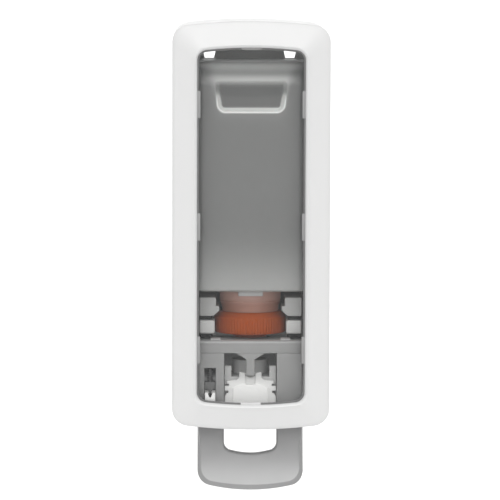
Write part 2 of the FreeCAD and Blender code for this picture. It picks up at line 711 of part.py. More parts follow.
def lens_gasket():
    """A dark seal between the window sheet and the frame, with room for the tabs."""
    body = new_body("lens_gasket")
    add(body, "XZ_Plane", SEAL_FRONT, LEDGE_FRONT, window_outline(LENS_LAP))
    cut(body, "XZ_Plane", SEAL_FRONT, LEDGE_FRONT, window_outline(-SEAL_SHOWN))
    beside, ends = tab_places()
    room = SEAL_ROOM
    roomy = []
    for low_x, high_x, low_z, high_z in beside:
        roomy.append((low_x - room, high_x + room, low_z - room, high_z + room))
    sides = cut(body, "XZ_Plane", SEAL_FRONT, LEDGE_FRONT, *[rectangle(*place) for place in roomy])
    mirror(body, [sides])
    roomy = []
    for low_x, high_x, low_z, high_z in ends:
        roomy.append((low_x - room, high_x + room, low_z - room, high_z + room))
    cut(body, "XZ_Plane", SEAL_FRONT, LEDGE_FRONT, *[rectangle(*place) for place in roomy])
    return body


def cover_catch():
    """A V-notched finger that reaches from the frame into the latch window."""
    body = new_body("cover_catch")
    low_x = -LATCH_SIDE - LATCH_WIDE / 2 + LATCH_GAP
    high_x = -LATCH_SIDE + LATCH_WIDE / 2 - LATCH_GAP
    foot = LATCH_WINDOW_FOOT_Z + LATCH_GAP
    top = foot + CATCH_TALL
    root = SEAL_FRONT - LENS_THICK
    leg_foot = foot - CATCH_LEG_LONG
    finger = [(low_x, foot), (high_x, foot), (high_x, top), (-LATCH_SIDE, top - CATCH_NOTCH), (low_x, top)]
    add(body, "XZ_Plane", HOUSING_FRONT - CATCH_REACH, root, polygon(finger))
    leg = rectangle(low_x, high_x, leg_foot, foot)
    add(body, "XZ_Plane", root - CATCH_LEG_THICK, root, leg)
    return body


# ---- The back plate and its hinge ---------------------------------------------------
def back_plate():
    body = new_body("back_plate")
    add(body, "XZ_Plane", 0, RAIL_DEEP, inset_outline(PLATE_INSET))
    inner = inset_outline(PLATE_INSET + RAIL_THICK)
    cut(body, "XZ_Plane", PLATE_THICK, RAIL_DEEP, inner)
    rail_top = TOP_Z - RAIL_TOP_DROP
    above = [at_front(-PLATE_THICK, PLATE_TOP_Z), at_front(PLATE_THICK, PLATE_TOP_Z)]
    above += [at_front(PLATE_THICK, rail_top), at_front(RAIL_DEEP + RAIL_THICK, rail_top)]
    above += [at_front(RAIL_DEEP + RAIL_THICK, TOP_Z), at_front(-PLATE_THICK, TOP_Z)]
    cut(body, "YZ_Plane", -COVER_WIDE, COVER_WIDE, polygon(above))
    half_cut = CUT_WIDE / 2
    below = rectangle(-half_cut, half_cut, -TOP_Z, HOUSING_FOOT_Z + COVER_CROWN)
    cut(body, "XZ_Plane", PLATE_THICK, RAIL_DEEP, below)

    # Hinge towers.
    pivot = at_front(HINGE_FRONT, HINGE_Z)
    near = HINGE_SIDE + PLATE_GAP / 2
    far = near + TOWER_WIDE
    tower_top = HINGE_Z - PLATE_GAP
    tower = [at_front(0, HINGE_Z - TOWER_TALL), at_front(HINGE_FRONT, HINGE_Z - TOWER_TALL)]
    tower += [at_front(HINGE_FRONT, tower_top), at_front(0, tower_top)]
    stand = add(body, "YZ_Plane", near, far, polygon(tower))
    knuckle = add(body, "YZ_Plane", near, far, circle(pivot, KNUCKLE_RADIUS))
    bore = cut(body, "YZ_Plane", near, far, circle(pivot, HINGE_PIN_RADIUS))
    mirror(body, [stand, knuckle, bore])

    # See-through slots above the bottle.
    slot_top = TOP_Z - SLOT_TOP_DROP
    slot_foot = slot_top - SLOT_TALL
    slot = [(SLOT_SIDE - SLOT_FOOT_WIDE / 2, slot_foot), (SLOT_SIDE + SLOT_FOOT_WIDE / 2, slot_foot)]
    slot += [(SLOT_SIDE + SLOT_TOP_WIDE / 2, slot_top), (SLOT_SIDE - SLOT_TOP_WIDE / 2, slot_top)]
    view_slot = cut(body, "XZ_Plane", 0, PLATE_THICK, polygon(slot))

    # Wall screw holes, and the sunk holes of the housing's screws.
    wall_holes = [circle((WALL_HOLE_SIDE, level), WALL_HOLE_RADIUS) for level in wall_hole_levels()]
    holes = cut(body, "XZ_Plane", 0, PLATE_THICK, *wall_holes)
    shanks = [circle((SCREW_OUT, level), SCREW_RADIUS) for level in screw_levels()]
    heads = [circle((SCREW_OUT, level), SCREW_HEAD_RADIUS) for level in screw_levels()]
    shank_holes = cut(body, "XZ_Plane", 0, PLATE_THICK, *shanks)
    head_seats = cut(body, "XZ_Plane", 0, SCREW_HEAD_THICK, *heads)
    mirror(body, [view_slot, holes, shank_holes, head_seats])
    return body


def wall_hole_levels():
    """Heights of the two rows of wall screws."""
    return (TOP_Z - WALL_HOLE_TOP_DROP, BASE_Z + WALL_HOLE_BASE_RISE)


def screw_levels():
    """Heights of the two rows of housing screws."""
    return ((SHELF_TOP_Z + SHELF_FOOT_Z) / 2, HOUSING_FOOT_Z + SCREW_RISE)


def hinge_pin(name, side):
    """A steel pin through one tower and one lug."""
    body = new_body(name)
    near = HINGE_INSET - PLATE_GAP
    far = HINGE_SIDE + PLATE_GAP / 2 + TOWER_WIDE
    ends = sides(side, near, far)
    pivot = at_front(HINGE_FRONT, HINGE_Z)
    add(body, "YZ_Plane", *ends, circle(pivot, HINGE_PIN_RADIUS))
    return body


# ---- The refill ---------------------------------------------------------------------
def bottle_form(name, inset):
    """The bottle's outside, or its inside when the inset is the wall."""
    body = new_body(name)
    half = COVER_WIDE / 2 - COVER_WALL - BOTTLE_SIDE_GAP - inset
    back = BOTTLE_BACK + inset
    front = BOTTLE_FRONT - inset
    foot = BASE_Z + inset
    top = BOTTLE_TOP_Z - inset
    plan = rounded_rectangle(-half, half, -front, -back, BOTTLE_CORNER - inset)
    add(body, "XY_Plane", foot, top, plan)
    chamfer_back = front - BOTTLE_CHAMFER_DEEP
    chamfer = [at_front(chamfer_back, top), at_front(front, top - BOTTLE_CHAMFER)]
    chamfer += [at_front(BOTTLE_FRONT + 1, top - BOTTLE_CHAMFER), at_front(BOTTLE_FRONT + 1, top + 1)]
    chamfer += [at_front(chamfer_back, top + 1)]
    cut(body, "YZ_Plane", -COVER_WIDE, COVER_WIDE, polygon(chamfer))
    recess_top = BOTTLE_TOP_Z - RECESS_TOP_DROP + inset
    recess_foot = recess_top - RECESS_TALL - 2 * inset
    half_top = RECESS_TOP_WIDE / 2 + inset
    half_foot = RECESS_FOOT_WIDE / 2 + inset
    recess = [(-half_foot, recess_foot), (half_foot, recess_foot), (half_top, recess_top), (-half_top, recess_top)]
    recess_back = BOTTLE_FRONT - RECESS_DEEP - inset
    cut(body, "XZ_Plane", recess_back, BOTTLE_FRONT + 1, polygon(recess))
    return body


def refill_bottle():
    """A hollow bottle standing on its neck."""
    outside = bottle_form("bottle_outside", as_size(0))
    axis = in_plan(0, PUMP_FRONT)
    add(outside, "XY_Plane", LIP_TOP_Z, BASE_Z, circle(axis, NECK_RADIUS))
    add(outside, "XY_Plane", LIP_FOOT_Z, LIP_TOP_Z, circle(axis, NECK_RADIUS - GROOVE_DEEP))
    add(outside, "XY_Plane", MOUTH_Z, LIP_FOOT_Z, circle(axis, FINISH_RADIUS))
    inside = bottle_form("bottle_inside", BOTTLE_WALL)
    add(inside, "XY_Plane", MOUTH_Z, BASE_Z + BOTTLE_WALL, circle(axis, MOUTH_RADIUS))
    bottle = doc.addObject("Part::Cut", "refill_bottle")
    bottle.Label = "refill_bottle"
    bottle.Base = outside
    bottle.Tool = inside
    return bottle


def cap_collar():
    """A screw cap whose hub points down."""
    body = new_body("cap_collar")
    on_pump_axis(body)
    top = LIP_FOOT_Z - LATCH_GAP
    hub_bore = BARREL_BORE + BARREL_WALL / 2
    outline = [(FINISH_RADIUS, top), (CAP_RADIUS - CAP_CHAMFER, top), (CAP_RADIUS, top - CAP_CHAMFER)]
    outline += [(CAP_RADIUS, CAP_FOOT_Z), (HUB_RADIUS, CAP_FOOT_Z), (HUB_RADIUS, HUB_FOOT_Z)]
    outline += [(hub_bore, HUB_FOOT_Z), (hub_bore, FLANGE_FOOT_Z), (FINISH_RADIUS, FLANGE_FOOT_Z)]
    turn(body, outline)
    return body


def ring(body, inner, outer, foot, top):
    """A plain ring about the body's Z axis."""
    return turn(body, [(inner, foot), (outer, foot), (outer, top), (inner, top)])


def cap_gasket():
    body = new_body("cap_gasket")
    on_pump_axis(body)
    ring(body, MOUTH_RADIUS, FINISH_RADIUS - RUNNING_GAP, FLANGE_TOP_Z, MOUTH_Z)
    return body


# ---- The pump -----------------------------------------------------------------------
def pump_cylinder():
    """A flanged barrel inside the neck, closed above but for its ports."""
    body = new_body("pump_cylinder")
    on_pump_axis(body)
    outer = BARREL_BORE + BARREL_WALL
    flange = FINISH_RADIUS - RUNNING_GAP
    roof = BARREL_TOP_Z - BARREL_END
    outline = [(BARREL_BORE, FLANGE_FOOT_Z), (flange, FLANGE_FOOT_Z), (flange, FLANGE_TOP_Z)]
    outline += [(outer, FLANGE_TOP_Z), (outer, BARREL_TOP_Z), (VALVE_STEM, BARREL_TOP_Z)]
    outline += [(VALVE_STEM, roof), (BARREL_BORE, roof)]
    turn(body, outline)
    port = cut(body, "XY_Plane", roof, BARREL_TOP_Z, circle((PORT_CIRCLE, as_size(0)), PORT_RADIUS))
    doc.recompute()
    pattern = body.newObject("PartDesign::PolarPattern", "pump_cylinder_ports")
    pattern.Originals = [port]
    pattern.Axis = (next(item for item in body.Origin.OriginFeatures if item.Role == "Z_Axis"), [""])
    pattern.Angle = 360
    pattern.Occurrences = 6
    body.Tip = pattern
    return body


def inlet_valve():
    """An umbrella valve under the barrel's end."""
    body = new_body("inlet_valve")
    on_pump_axis(body)
    roof = BARREL_TOP_Z - BARREL_END
    head_radius = VALVE_STEM * 1.5
    zero = as_size(0)
    outline = [(zero, roof - VALVE_THICK), (VALVE_RADIUS, roof - VALVE_THICK), (VALVE_RADIUS, roof)]
    outline += [(VALVE_STEM, roof), (VALVE_STEM, BARREL_TOP_Z), (head_radius, BARREL_TOP_Z)]
    outline += [(VALVE_STEM, BARREL_TOP_Z + BARREL_END), (zero, BARREL_TOP_Z + BARREL_END)]
    turn(body, outline)
    return body


def pump_spring():
    body = new_body("pump_spring")
    on_pump_axis(body)
    foot = PISTON_TOP_Z + SPRING_WIRE
    height = BARREL_TOP_Z - BARREL_END - SPRING_WIRE - foot
    coil(body, SPRING_COIL, SPRING_WIRE, foot, height, SPRING_TURNS)
    return body


def pump_stem():
    """The hollow piston rod with its head."""
    body = new_body("pump_stem")
    on_pump_axis(body)
    head_foot = PISTON_TOP_Z - STEM_HEAD_THICK
    foot = DISC_TOP_Z - DISC_SOCKET
    outline = [(STEM_BORE, foot), (STEM_RADIUS, foot), (STEM_RADIUS, head_foot)]
    outline += [(STEM_HEAD_RADIUS, head_foot), (STEM_HEAD_RADIUS, PISTON_TOP_Z), (STEM_BORE, PISTON_TOP_Z)]
    turn(body, outline)
    return body


def piston_seal():
    body = new_body("piston_seal")
    on_pump_axis(body)
    top = PISTON_TOP_Z - STEM_HEAD_THICK
    ring(body, STEM_RADIUS, BARREL_BORE - RUNNING_GAP, top - SEAL_LONG, top)
    return body


def actuator_disc():
    """The disc that the carriage lifts, with the soap's way down its middle."""
    body = new_body("actuator_disc")
    on_pump_axis(body)
    socket = DISC_TOP_Z - DISC_SOCKET
    outline = [(STEM_BORE, PLATFORM_TOP_Z), (DISC_RADIUS, PLATFORM_TOP_Z), (DISC_RADIUS, DISC_TOP_Z)]
    outline += [(STEM_RADIUS, DISC_TOP_Z), (STEM_RADIUS, socket), (STEM_BORE, socket)]
    turn(body, outline)
    return body


def outlet_valve():
    """A soft duckbill under the disc."""
    body = new_body("outlet_valve")
    on_pump_axis(body)
    shoulder = PLATFORM_FOOT_Z
    tip = PLATFORM_TOP_Z - BILL_LONG
    outline = [(BILL_TIP / 2, tip), (BILL_TIP, tip), (BILL_RADIUS, shoulder), (BILL_RADIUS, PLATFORM_TOP_Z)]
    outline += [(STEM_BORE, PLATFORM_TOP_Z), (STEM_BORE, shoulder)]
    turn(body, outline)
    return body


# ---- The fixed lower housing --------------------------------------------------------
def keyhole(radius):
    """A round seat about the pump's axis that is open to the front."""
    axis = in_plan(0, PUMP_FRONT)
    return circle(axis, radius), rectangle(-radius, radius, -COVER_DEEP, -PUMP_FRONT)


def cut_keyhole(body, radius, foot, top):
    """Cut the round seat and then its way out."""
    seat, way_out = keyhole(radius)
    cut(body, "XY_Plane", foot, top, seat)
    cut(body, "XY_Plane", foot, top, way_out)


def neck_fork():
    """A fork whose lip holds the groove of the bottle's neck."""
    body = new_body("neck_fork")
    top = BASE_Z - FORK_DROP
    foot = LIP_FOOT_Z - FORK_FOOT
    plan = rectangle(-HALF_HOUSING, HALF_HOUSING, -FORK_FRONT, -TOWER_DEEP)
    add(body, "XY_Plane", foot, top, plan)
    cut_keyhole(body, NECK_RADIUS + CARRIAGE_GAP, LIP_TOP_Z, top)
    lip_foot = LIP_TOP_Z - FORK_LIP
    cut_keyhole(body, NECK_RADIUS - GROOVE_DEEP + LATCH_GAP, lip_foot, LIP_TOP_Z)
    cut_keyhole(body, CAP_RADIUS + CARRIAGE_GAP, foot, lip_foot)
    return body


def cap_cradle():
    """A tray with a floor under the rear of the cap."""
    body = new_body("cap_cradle")
    top = SHELF_TOP_Z + CRADLE_TALL
    plan = rectangle(-HALF_HOUSING, HALF_HOUSING, -FORK_FRONT, -TOWER_DEEP)
    add(body, "XY_Plane", SHELF_TOP_Z, top, plan)
    cut_keyhole(body, CAP_RADIUS + CARRIAGE_GAP, CAP_FOOT_Z, top)
    axis = in_plan(0, PUMP_FRONT)
    cut(body, "XY_Plane", SHELF_TOP_Z, CAP_FOOT_Z, circle(axis, HUB_RADIUS + CARRIAGE_GAP))
    radius = CAP_RADIUS + CARRIAGE_GAP
    cut(body, "XY_Plane", SHELF_TOP_Z, CAP_FOOT_Z, rectangle(-radius, radius, -COVER_DEEP, -PUMP_FRONT))
    undercut_back = FORK_FRONT - CRADLE_UNDERCUT_DEEP
    undercut = rectangle(-HALF_HOUSING, HALF_HOUSING, -FORK_FRONT, -undercut_back)
    cut(body, "XY_Plane", SHELF_TOP_Z, SHELF_TOP_Z + CRADLE_UNDERCUT_TALL, undercut)
    return body


def pump_housing():
    """The rear block, the tower behind the neck, the shelf and its guide post."""
    body = new_body("pump_housing")
    shelf = rectangle(-HALF_HOUSING, HALF_HOUSING, -HOUSING_FRONT, -PLATE_THICK)
    add(body, "XY_Plane", SHELF_FOOT_Z, SHELF_TOP_Z, shelf)
    block = rectangle(-HALF_HOUSING, HALF_HOUSING, -BAY_BACK, -PLATE_THICK)
    add(body, "XY_Plane", HOUSING_FOOT_Z, SHELF_FOOT_Z, block)
    tower_top = BASE_Z - TOWER_BASE_DROP
    tower = rectangle(-HALF_HOUSING, HALF_HOUSING, -TOWER_DEEP, -PLATE_THICK)
    add(body, "XY_Plane", SHELF_TOP_Z, tower_top, tower)
    half_core = HALF_HOUSING - REAR_WALL
    core = rectangle(-half_core, half_core, SHELF_TOP_Z, tower_top - REAR_WALL)
    cut(body, "XZ_Plane", PLATE_THICK, TOWER_DEEP - FRONT_WALL, core)
    rear_end = BAY_BACK - BAY_REAR_WALL
    rear = rectangle(-CHANNEL_OUT, CHANNEL_OUT, -rear_end, -(PLATE_THICK + REAR_WALL))
    cut(body, "XY_Plane", HOUSING_FOOT_Z, CHANNEL_TOP_Z, rear)
    cut(body, "XY_Plane", SHELF_FOOT_Z, SHELF_TOP_Z, circle(in_plan(0, PUMP_FRONT), SHELF_HOLE))

    # The guide post and its flare.
    half_flare = POST_FLARE_WIDE / 2
    half_post = POST_WIDE / 2
    flare_foot = SHELF_FOOT_Z - POST_FLARE_TALL
    post = [(-half_flare, SHELF_FOOT_Z), (-half_post, flare_foot), (-half_post, SHELF_FOOT_Z - POST_LONG)]
    post += [(half_post, SHELF_FOOT_Z - POST_LONG), (half_post, flare_foot), (half_flare, SHELF_FOOT_Z)]
    add(body, "XZ_Plane", HOUSING_FRONT - POST_DEEP, HOUSING_FRONT, polygon(post))

    # Blind holes for the screws from behind the back plate.
    holes = [circle((SCREW_OUT, level), SCREW_RADIUS) for level in screw_levels()]
    screw_holes = cut(body, "XZ_Plane", PLATE_THICK, PLATE_THICK + SCREW_GRIP, *holes)
    mirror(body, [screw_holes])
    return body


def housing_pillar(name, side):
    """A hollow pillar under the shelf, open below, for one arm of the lever."""
    body = new_body(name)
    low_x, high_x = sides(side, HALF_BAY, HALF_HOUSING)
    whole = rectangle(low_x, high_x, -HOUSING_FRONT, -BAY_BACK)
    add(body, "XY_Plane", HOUSING_FOOT_Z, SHELF_FOOT_Z, whole)
    channel_low, channel_high = sides(side, CHANNEL_IN, CHANNEL_OUT)
    channel = rectangle(channel_low, channel_high, -CHANNEL_FRONT, -BAY_BACK)
    cut(body, "XY_Plane", HOUSING_FOOT_Z, CHANNEL_TOP_Z, channel)

    # The hole of the lever's pin, and the slot of the carriage's pin in the inner wall.
    pivot = at_front(PIVOT_FRONT, PIVOT_Z)
    cut(body, "YZ_Plane", low_x, high_x, circle(pivot, LEVER_PIN_RADIUS))
    room = DRIVE_PIN_RADIUS + DRIVE_GAP
    slot_top = PIVOT_Z + CARRIAGE_TRAVEL + room
    slot = rectangle(-PUMP_FRONT - room, room - PUMP_FRONT, PIVOT_Z - room, slot_top)
    cut(body, "YZ_Plane", *sides(side, HALF_BAY, CHANNEL_IN), slot)
    if side < 0:
        add_latch_window(body)
    return body


def add_latch_window(body):
    """The latch window of the left pillar, and the lintel that guides the bolt's stem."""
    low_x = -LATCH_SIDE - LATCH_WIDE / 2
    high_x = -LATCH_SIDE + LATCH_WIDE / 2
    window = rectangle(low_x, high_x, LATCH_WINDOW_FOOT_Z, LATCH_WINDOW_TOP_Z)
    cut(body, "XZ_Plane", CHANNEL_FRONT, HOUSING_FRONT, window)
    lintel = rectangle(-CHANNEL_OUT, -CHANNEL_IN, -CHANNEL_FRONT, -LINTEL_BACK)
    add(body, "XY_Plane", LATCH_WINDOW_TOP_Z, CHANNEL_TOP_Z, lintel)
    stem_place = in_plan(-LATCH_SIDE, BOLT_STEM_FRONT)
    hole_top = BOLT_TOP_Z + BOLT_STEM_LONG + BOLT_TRAVEL + LATCH_GAP
    stem_hole = circle(stem_place, BOLT_STEM_RADIUS + RUNNING_GAP)
    cut(body, "XY_Plane", LATCH_WINDOW_TOP_Z, hole_top, stem_hole)


def housing_screws():
    """Four screws from behind the back plate into the housing, with their heads sunk."""
    screws = []
    for row, level in zip(("upper", "lower"), screw_levels()):
        for hand, side in (("left", -1), ("right", 1)):
            place = (side * SCREW_OUT, level)
            body = new_body(f"screw_{row}_{hand}")
            add(body, "XZ_Plane", 0, SCREW_HEAD_THICK, circle(place, SCREW_HEAD_RADIUS))
            point = PLATE_THICK + SCREW_GRIP
            add(body, "XZ_Plane", SCREW_HEAD_THICK, point, circle(place, SCREW_RADIUS))
            screws.append(body)
    group = doc.addObject("Part::Compound", "housing_screws")
    group.Label = "housing_screws"
    group.Links = screws
    return group


# ---- The latch ----------------------------------------------------------------------
def latch_bolt():
    """A bolt with a V nose that hangs on its spring above the catch."""
    body = new_body("latch_bolt")
    low_x = -LATCH_SIDE - LATCH_WIDE / 2 + LATCH_GAP
    high_x = -LATCH_SIDE + LATCH_WIDE / 2 - LATCH_GAP
    shoulder = BOLT_TOP_Z - BOLT_TALL + BOLT_NOSE
    nose = [(low_x, shoulder), (-LATCH_SIDE, BOLT_TOP_Z - BOLT_TALL), (high_x, shoulder)]
    nose += [(high_x, BOLT_TOP_Z), (low_x, BOLT_TOP_Z)]
    add(body, "XZ_Plane", BOLT_BACK, BOLT_BACK + BOLT_DEEP, polygon(nose))
    place = in_plan(-LATCH_SIDE, BOLT_STEM_FRONT)
    add(body, "XY_Plane", BOLT_TOP_Z, BOLT_TOP_Z + BOLT_STEM_LONG, circle(place, BOLT_STEM_RADIUS))
    return body


def latch_spring():
    body = new_body("latch_spring")
    place = in_plan(-LATCH_SIDE, BOLT_STEM_FRONT)
    body.Placement = FreeCAD.Placement(flat(place), FreeCAD.Rotation())
    body.setExpression("Placement.Base.x", place[0].text)
    body.setExpression("Placement.Base.y", place[1].text)
    foot = BOLT_TOP_Z + LATCH_WIRE
    height = LATCH_WINDOW_TOP_Z - LATCH_WIRE - foot
    coil(body, LATCH_COIL, LATCH_WIRE, foot, height, LATCH_TURNS)
    return body


# ---- The lever and the carriage -----------------------------------------------------
def lever_pin(name, side):
    body = new_body(name)
    pivot = at_front(PIVOT_FRONT, PIVOT_Z)
    add(body, "YZ_Plane", *sides(side, HALF_BAY, HALF_HOUSING), circle(pivot, LEVER_PIN_RADIUS))
    return body


def lever_bushing(name, side):
    body = new_body(name)
    pivot = at_front(PIVOT_FRONT, PIVOT_Z)
    ends = sides(side, CHANNEL_IN + LEVER_GAP, CHANNEL_OUT - LEVER_GAP)
    outer = LEVER_PIN_RADIUS + RUNNING_GAP + BUSH_WALL
    add(body, "YZ_Plane", *ends, circle(pivot, outer), circle(pivot, LEVER_PIN_RADIUS + RUNNING_GAP))
    return body


def lever_front_form():
    """The lever from the front: two arms, a bar and round lower corners."""
    body = new_body("lever_front_form")
    deep = COVER_DEEP
    foot = -TOP_Z - LEVER_FOOT_DROP
    shoulder = LEVER_SHOULDER - TOP_Z
    arm_top = PIVOT_Z + FAR / 4
    half = LEVER_WIDE / 2
    middle = (shoulder + foot) / 2
    drop = middle - foot
    plate = crowned_outline(LEVER_WIDE, 2 * drop, LEVER_CORNER, LEVER_CROWN)
    body.Placement = FreeCAD.Placement(VECTOR(0, 0, middle.value), FreeCAD.Rotation())
    body.setExpression("Placement.Base.z", middle.text)
    add(body, "XZ_Plane", 0, deep, plate)
    add(body, "XZ_Plane", 0, deep, rectangle(-half, half, as_size(0), drop))
    arm = rectangle(CHANNEL_IN + LEVER_GAP, CHANNEL_OUT - LEVER_GAP, as_size(0), arm_top - middle)
    arms = add(body, "XZ_Plane", 0, deep, arm)
    mirror(body, [arms])
    half_hole = LEVER_HOLE_WIDE / 2
    hole_foot = foot + LEVER_BAR_TALL - middle
    hole = rounded_rectangle(-half_hole, half_hole, hole_foot, drop + 2 * HOLE_CORNER, HOLE_CORNER)
    cut(body, "XZ_Plane", 0, deep, hole)
    return body


def lever_side_form():
    """The lever from the side: boss, rear arm with its slot, and the swept plate."""
    body = new_body("lever_side_form")
    half = LEVER_WIDE
    arm_front = PIVOT_FRONT + LEVER_FRONT
    arm_back = arm_front - LEVER_THICK - LEVER_FRONT / 2
    foot = -TOP_Z - LEVER_FOOT_DROP
    sweep_z = foot + LEVER_SWEEP_TALL
    boss = LEVER_PIN_RADIUS + RUNNING_GAP + BUSH_WALL + BOSS_WALL
    pivot = at_front(PIVOT_FRONT, PIVOT_Z)
    half_arm = ARM_TALL / 2
    tail = PUMP_FRONT - DRIVE_PIN_RADIUS - DRIVE_GAP - ARM_TAIL
    shank = [at_front(arm_front, sweep_z), at_front(arm_front, PIVOT_Z), at_front(arm_back, PIVOT_Z)]
    shank += [at_front(arm_back, sweep_z)]
    add(body, "YZ_Plane", -half, half, polygon(shank))
    add(body, "YZ_Plane", -half, half, circle(pivot, boss))
    rear = [at_front(PIVOT_FRONT, PIVOT_Z - half_arm), at_front(PIVOT_FRONT, PIVOT_Z + half_arm)]
    rear += [at_front(tail, PIVOT_Z + half_arm), at_front(tail, PIVOT_Z - half_arm)]
    add(body, "YZ_Plane", -half, half, polygon(rear))
    add(body, "YZ_Plane", -half, half, swept_plate(arm_front, arm_back, sweep_z, foot))
    bush = LEVER_PIN_RADIUS + RUNNING_GAP + BUSH_WALL
    cut(body, "YZ_Plane", -half, half, circle(pivot, bush))
    room = DRIVE_PIN_RADIUS + DRIVE_GAP
    slide = [at_front(PUMP_FRONT + room, PIVOT_Z - room), at_front(PUMP_FRONT + room, PIVOT_Z + room)]
    back = PUMP_FRONT - room - ARM_TAIL / 3
    slide += [at_front(back, PIVOT_Z + room), at_front(back, PIVOT_Z - room)]
    cut(body, "YZ_Plane", -half, half, polygon(slide))
    return body


def swept_plate(arm_front, arm_back, sweep_z, foot):
    """A plate between two arcs about one centre in front of the lever."""

    def draw(sketch):
        centre = at_front(arm_front + LEVER_SWEEP, sweep_z)
        radii = (LEVER_SWEEP, LEVER_SWEEP + arm_front - arm_back)
        middle = flat(centre)
        drop = sweep_z.value - foot.value
        for radius in radii:
            reach = math.sqrt(radius.value ** 2 - drop ** 2)
            start = VECTOR(middle.x + radius.value, middle.y, 0)
            end = VECTOR(middle.x + reach, middle.y - drop, 0)
            edge = sketch.addGeometry(arc_between(middle, radius.value, end, start), False)
            pin_point(sketch, edge, 3, centre)
            hold(sketch, "Radius", (edge,), radius)
            hold(sketch, "DistanceY", (-1, 1, edge, 1), foot)
            sketch.addConstraint(Sketcher.Constraint("Horizontal", edge, 3, edge, 2))
        ends = [(sketch.getPoint(0, spot), sketch.getPoint(1, spot)) for spot in (1, 2)]
        for number, (one, two) in enumerate(ends):
            line = sketch.addGeometry(Part.LineSegment(one, two), False)
            for spot in (0, 1):
                joint = Sketcher.Constraint("Coincident", line, spot + 1, spot, number + 1)
                sketch.addConstraint(joint)

    return draw


def push_lever():
    """The lever: what its front form and its side form share."""
    lever = doc.addObject("Part::MultiCommon", "push_lever")
    lever.Label = "push_lever"
    lever.Shapes = [lever_front_form(), lever_side_form()]
    return lever


def drive_pin(name, side):
    """A steel pin from the carriage through the housing's slot into the lever's slot."""
    body = new_body(name)
    far = HALF_CARRIAGE - PLATFORM_THICK + DRIVE_PIN_LONG
    place = at_front(PUMP_FRONT, PIVOT_Z)
    ends = sides(side, HALF_CARRIAGE - PLATFORM_THICK, far)
    add(body, "YZ_Plane", *ends, circle(place, DRIVE_PIN_RADIUS))
    return body


def pump_carriage():
    """A platform under the disc with a crowned apron at its front."""
    body = new_body("pump_carriage")
    half = HALF_CARRIAGE
    back = PUMP_FRONT - PLATFORM_BACK
    plan = rectangle(-half, half, -APRON_FRONT, -back)
    add(body, "XY_Plane", PLATFORM_FOOT_Z, PLATFORM_TOP_Z, plan)
    crown = CROWN_WIDE / 2
    step = STEP_WIDE / 2
    top = PLATFORM_TOP_Z + CROWN_TALL
    step_z = PLATFORM_TOP_Z - STEP_DROP
    flare_z = PLATFORM_TOP_Z - FLARE_DROP
    foot = PLATFORM_TOP_Z - APRON_TALL
    half_shape = [(half, foot), (half, flare_z), (step, flare_z + CROWN_TALL), (step, step_z), (crown, step_z)]
    half_shape += [(crown, top)]
    shape = half_shape + [(-x, z) for x, z in reversed(half_shape)]
    add(body, "XZ_Plane", APRON_BACK, APRON_FRONT, polygon(shape))
    post_back = HOUSING_FRONT - POST_DEEP - LATCH_GAP
    half_groove = POST_WIDE / 2 + LATCH_GAP
    groove_foot = SHELF_FOOT_Z - POST_LONG - CARRIAGE_TRAVEL - CARRIAGE_GAP
    groove = rectangle(-half_groove, half_groove, groove_foot, top)
    cut(body, "XZ_Plane", post_back, APRON_FRONT, groove)
    corner = [(half, PLATFORM_TOP_Z), (half, PLATFORM_TOP_Z + UPRIGHT_TALL)]
    corner += [(half - UPRIGHT_WIDE, PLATFORM_TOP_Z + UPRIGHT_TALL), (half - UPRIGHT_WIDE, PLATFORM_TOP_Z)]
    upright = add(body, "XZ_Plane", APRON_BACK - APRON_THICK, APRON_BACK, polygon(corner))
    place = at_front(PUMP_FRONT, PIVOT_Z)
    bore = cut(body, "YZ_Plane", half - PLATFORM_THICK, half, circle(place, DRIVE_PIN_RADIUS))
    mirror(body, [upright, bore])
    axis = in_plan(0, PUMP_FRONT)
    cut(body, "XY_Plane", PLATFORM_FOOT_Z, PLATFORM_TOP_Z, circle(axis, BILL_RADIUS + LATCH_GAP))
    return body


# ---- Build, check and write ---------------------------------------------------------
pieces = [
    back_plate(),
    hinge_pin("hinge_pin_left", -1),
    hinge_pin("hinge_pin_right", 1),
    pump_housing(),
    housing_pillar("housing_pillar_left", -1),
    housing_pillar("housing_pillar_right", 1),
    housing_screws(),
    neck_fork(),
    cap_cradle(),
    lever_pin("lever_pin_left", -1),
    lever_pin("lever_pin_right", 1),
    latch_spring(),
    refill_bottle(),
    cap_collar(),
    cap_gasket(),
    pump_cylinder(),
    inlet_valve(),
    pump_spring(),
    front_cover(),
    window_lens(),
    lens_gasket(),
    cover_catch(),
    latch_bolt(),
    push_lever(),
    lever_bushing("lever_bushing_left", -1),
    lever_bushing("lever_bushing_right", 1),
    pump_carriage(),
    drive_pin("drive_pin_left", -1),
    drive_pin("drive_pin_right", 1),
    actuator_disc(),
    pump_stem(),
    piston_seal(),
    outlet_valve(),
]

doc.recompute()
failed = [item.Name for item in doc.Objects if "Invalid" in item.State or "Error" in item.State]
if failed:
    raise RuntimeError(f"objects that failed: {failed}")
for feature in cuts:
    before = feature.BaseFeature.Shape.Volume
    if feature.Shape.Volume >= before:
        raise RuntimeError(f"{feature.Name} cuts nothing")
for piece in pieces:
    shape = piece.Shape
    if shape.isNull() or not shape.isValid() or not shape.Solids:
        raise RuntimeError(f"{piece.Label} has no sound solid")

os.makedirs("parts", exist_ok=True)
for piece in pieces:
    piece.Shape.exportStep(f"parts/{piece.Label}.step")
    box = piece.Shape.BoundBox
    print(
        f"{piece.Label:20s} solids {len(piece.Shape.Solids)} volume {piece.Shape.Volume:10.1f}"
        f"  x {box.XMin:7.2f} {box.XMax:7.2f}  y {box.YMin:7.2f} {box.YMax:7.2f}"
        f"  z {box.ZMin:7.2f} {box.ZMax:7.2f}"
    )
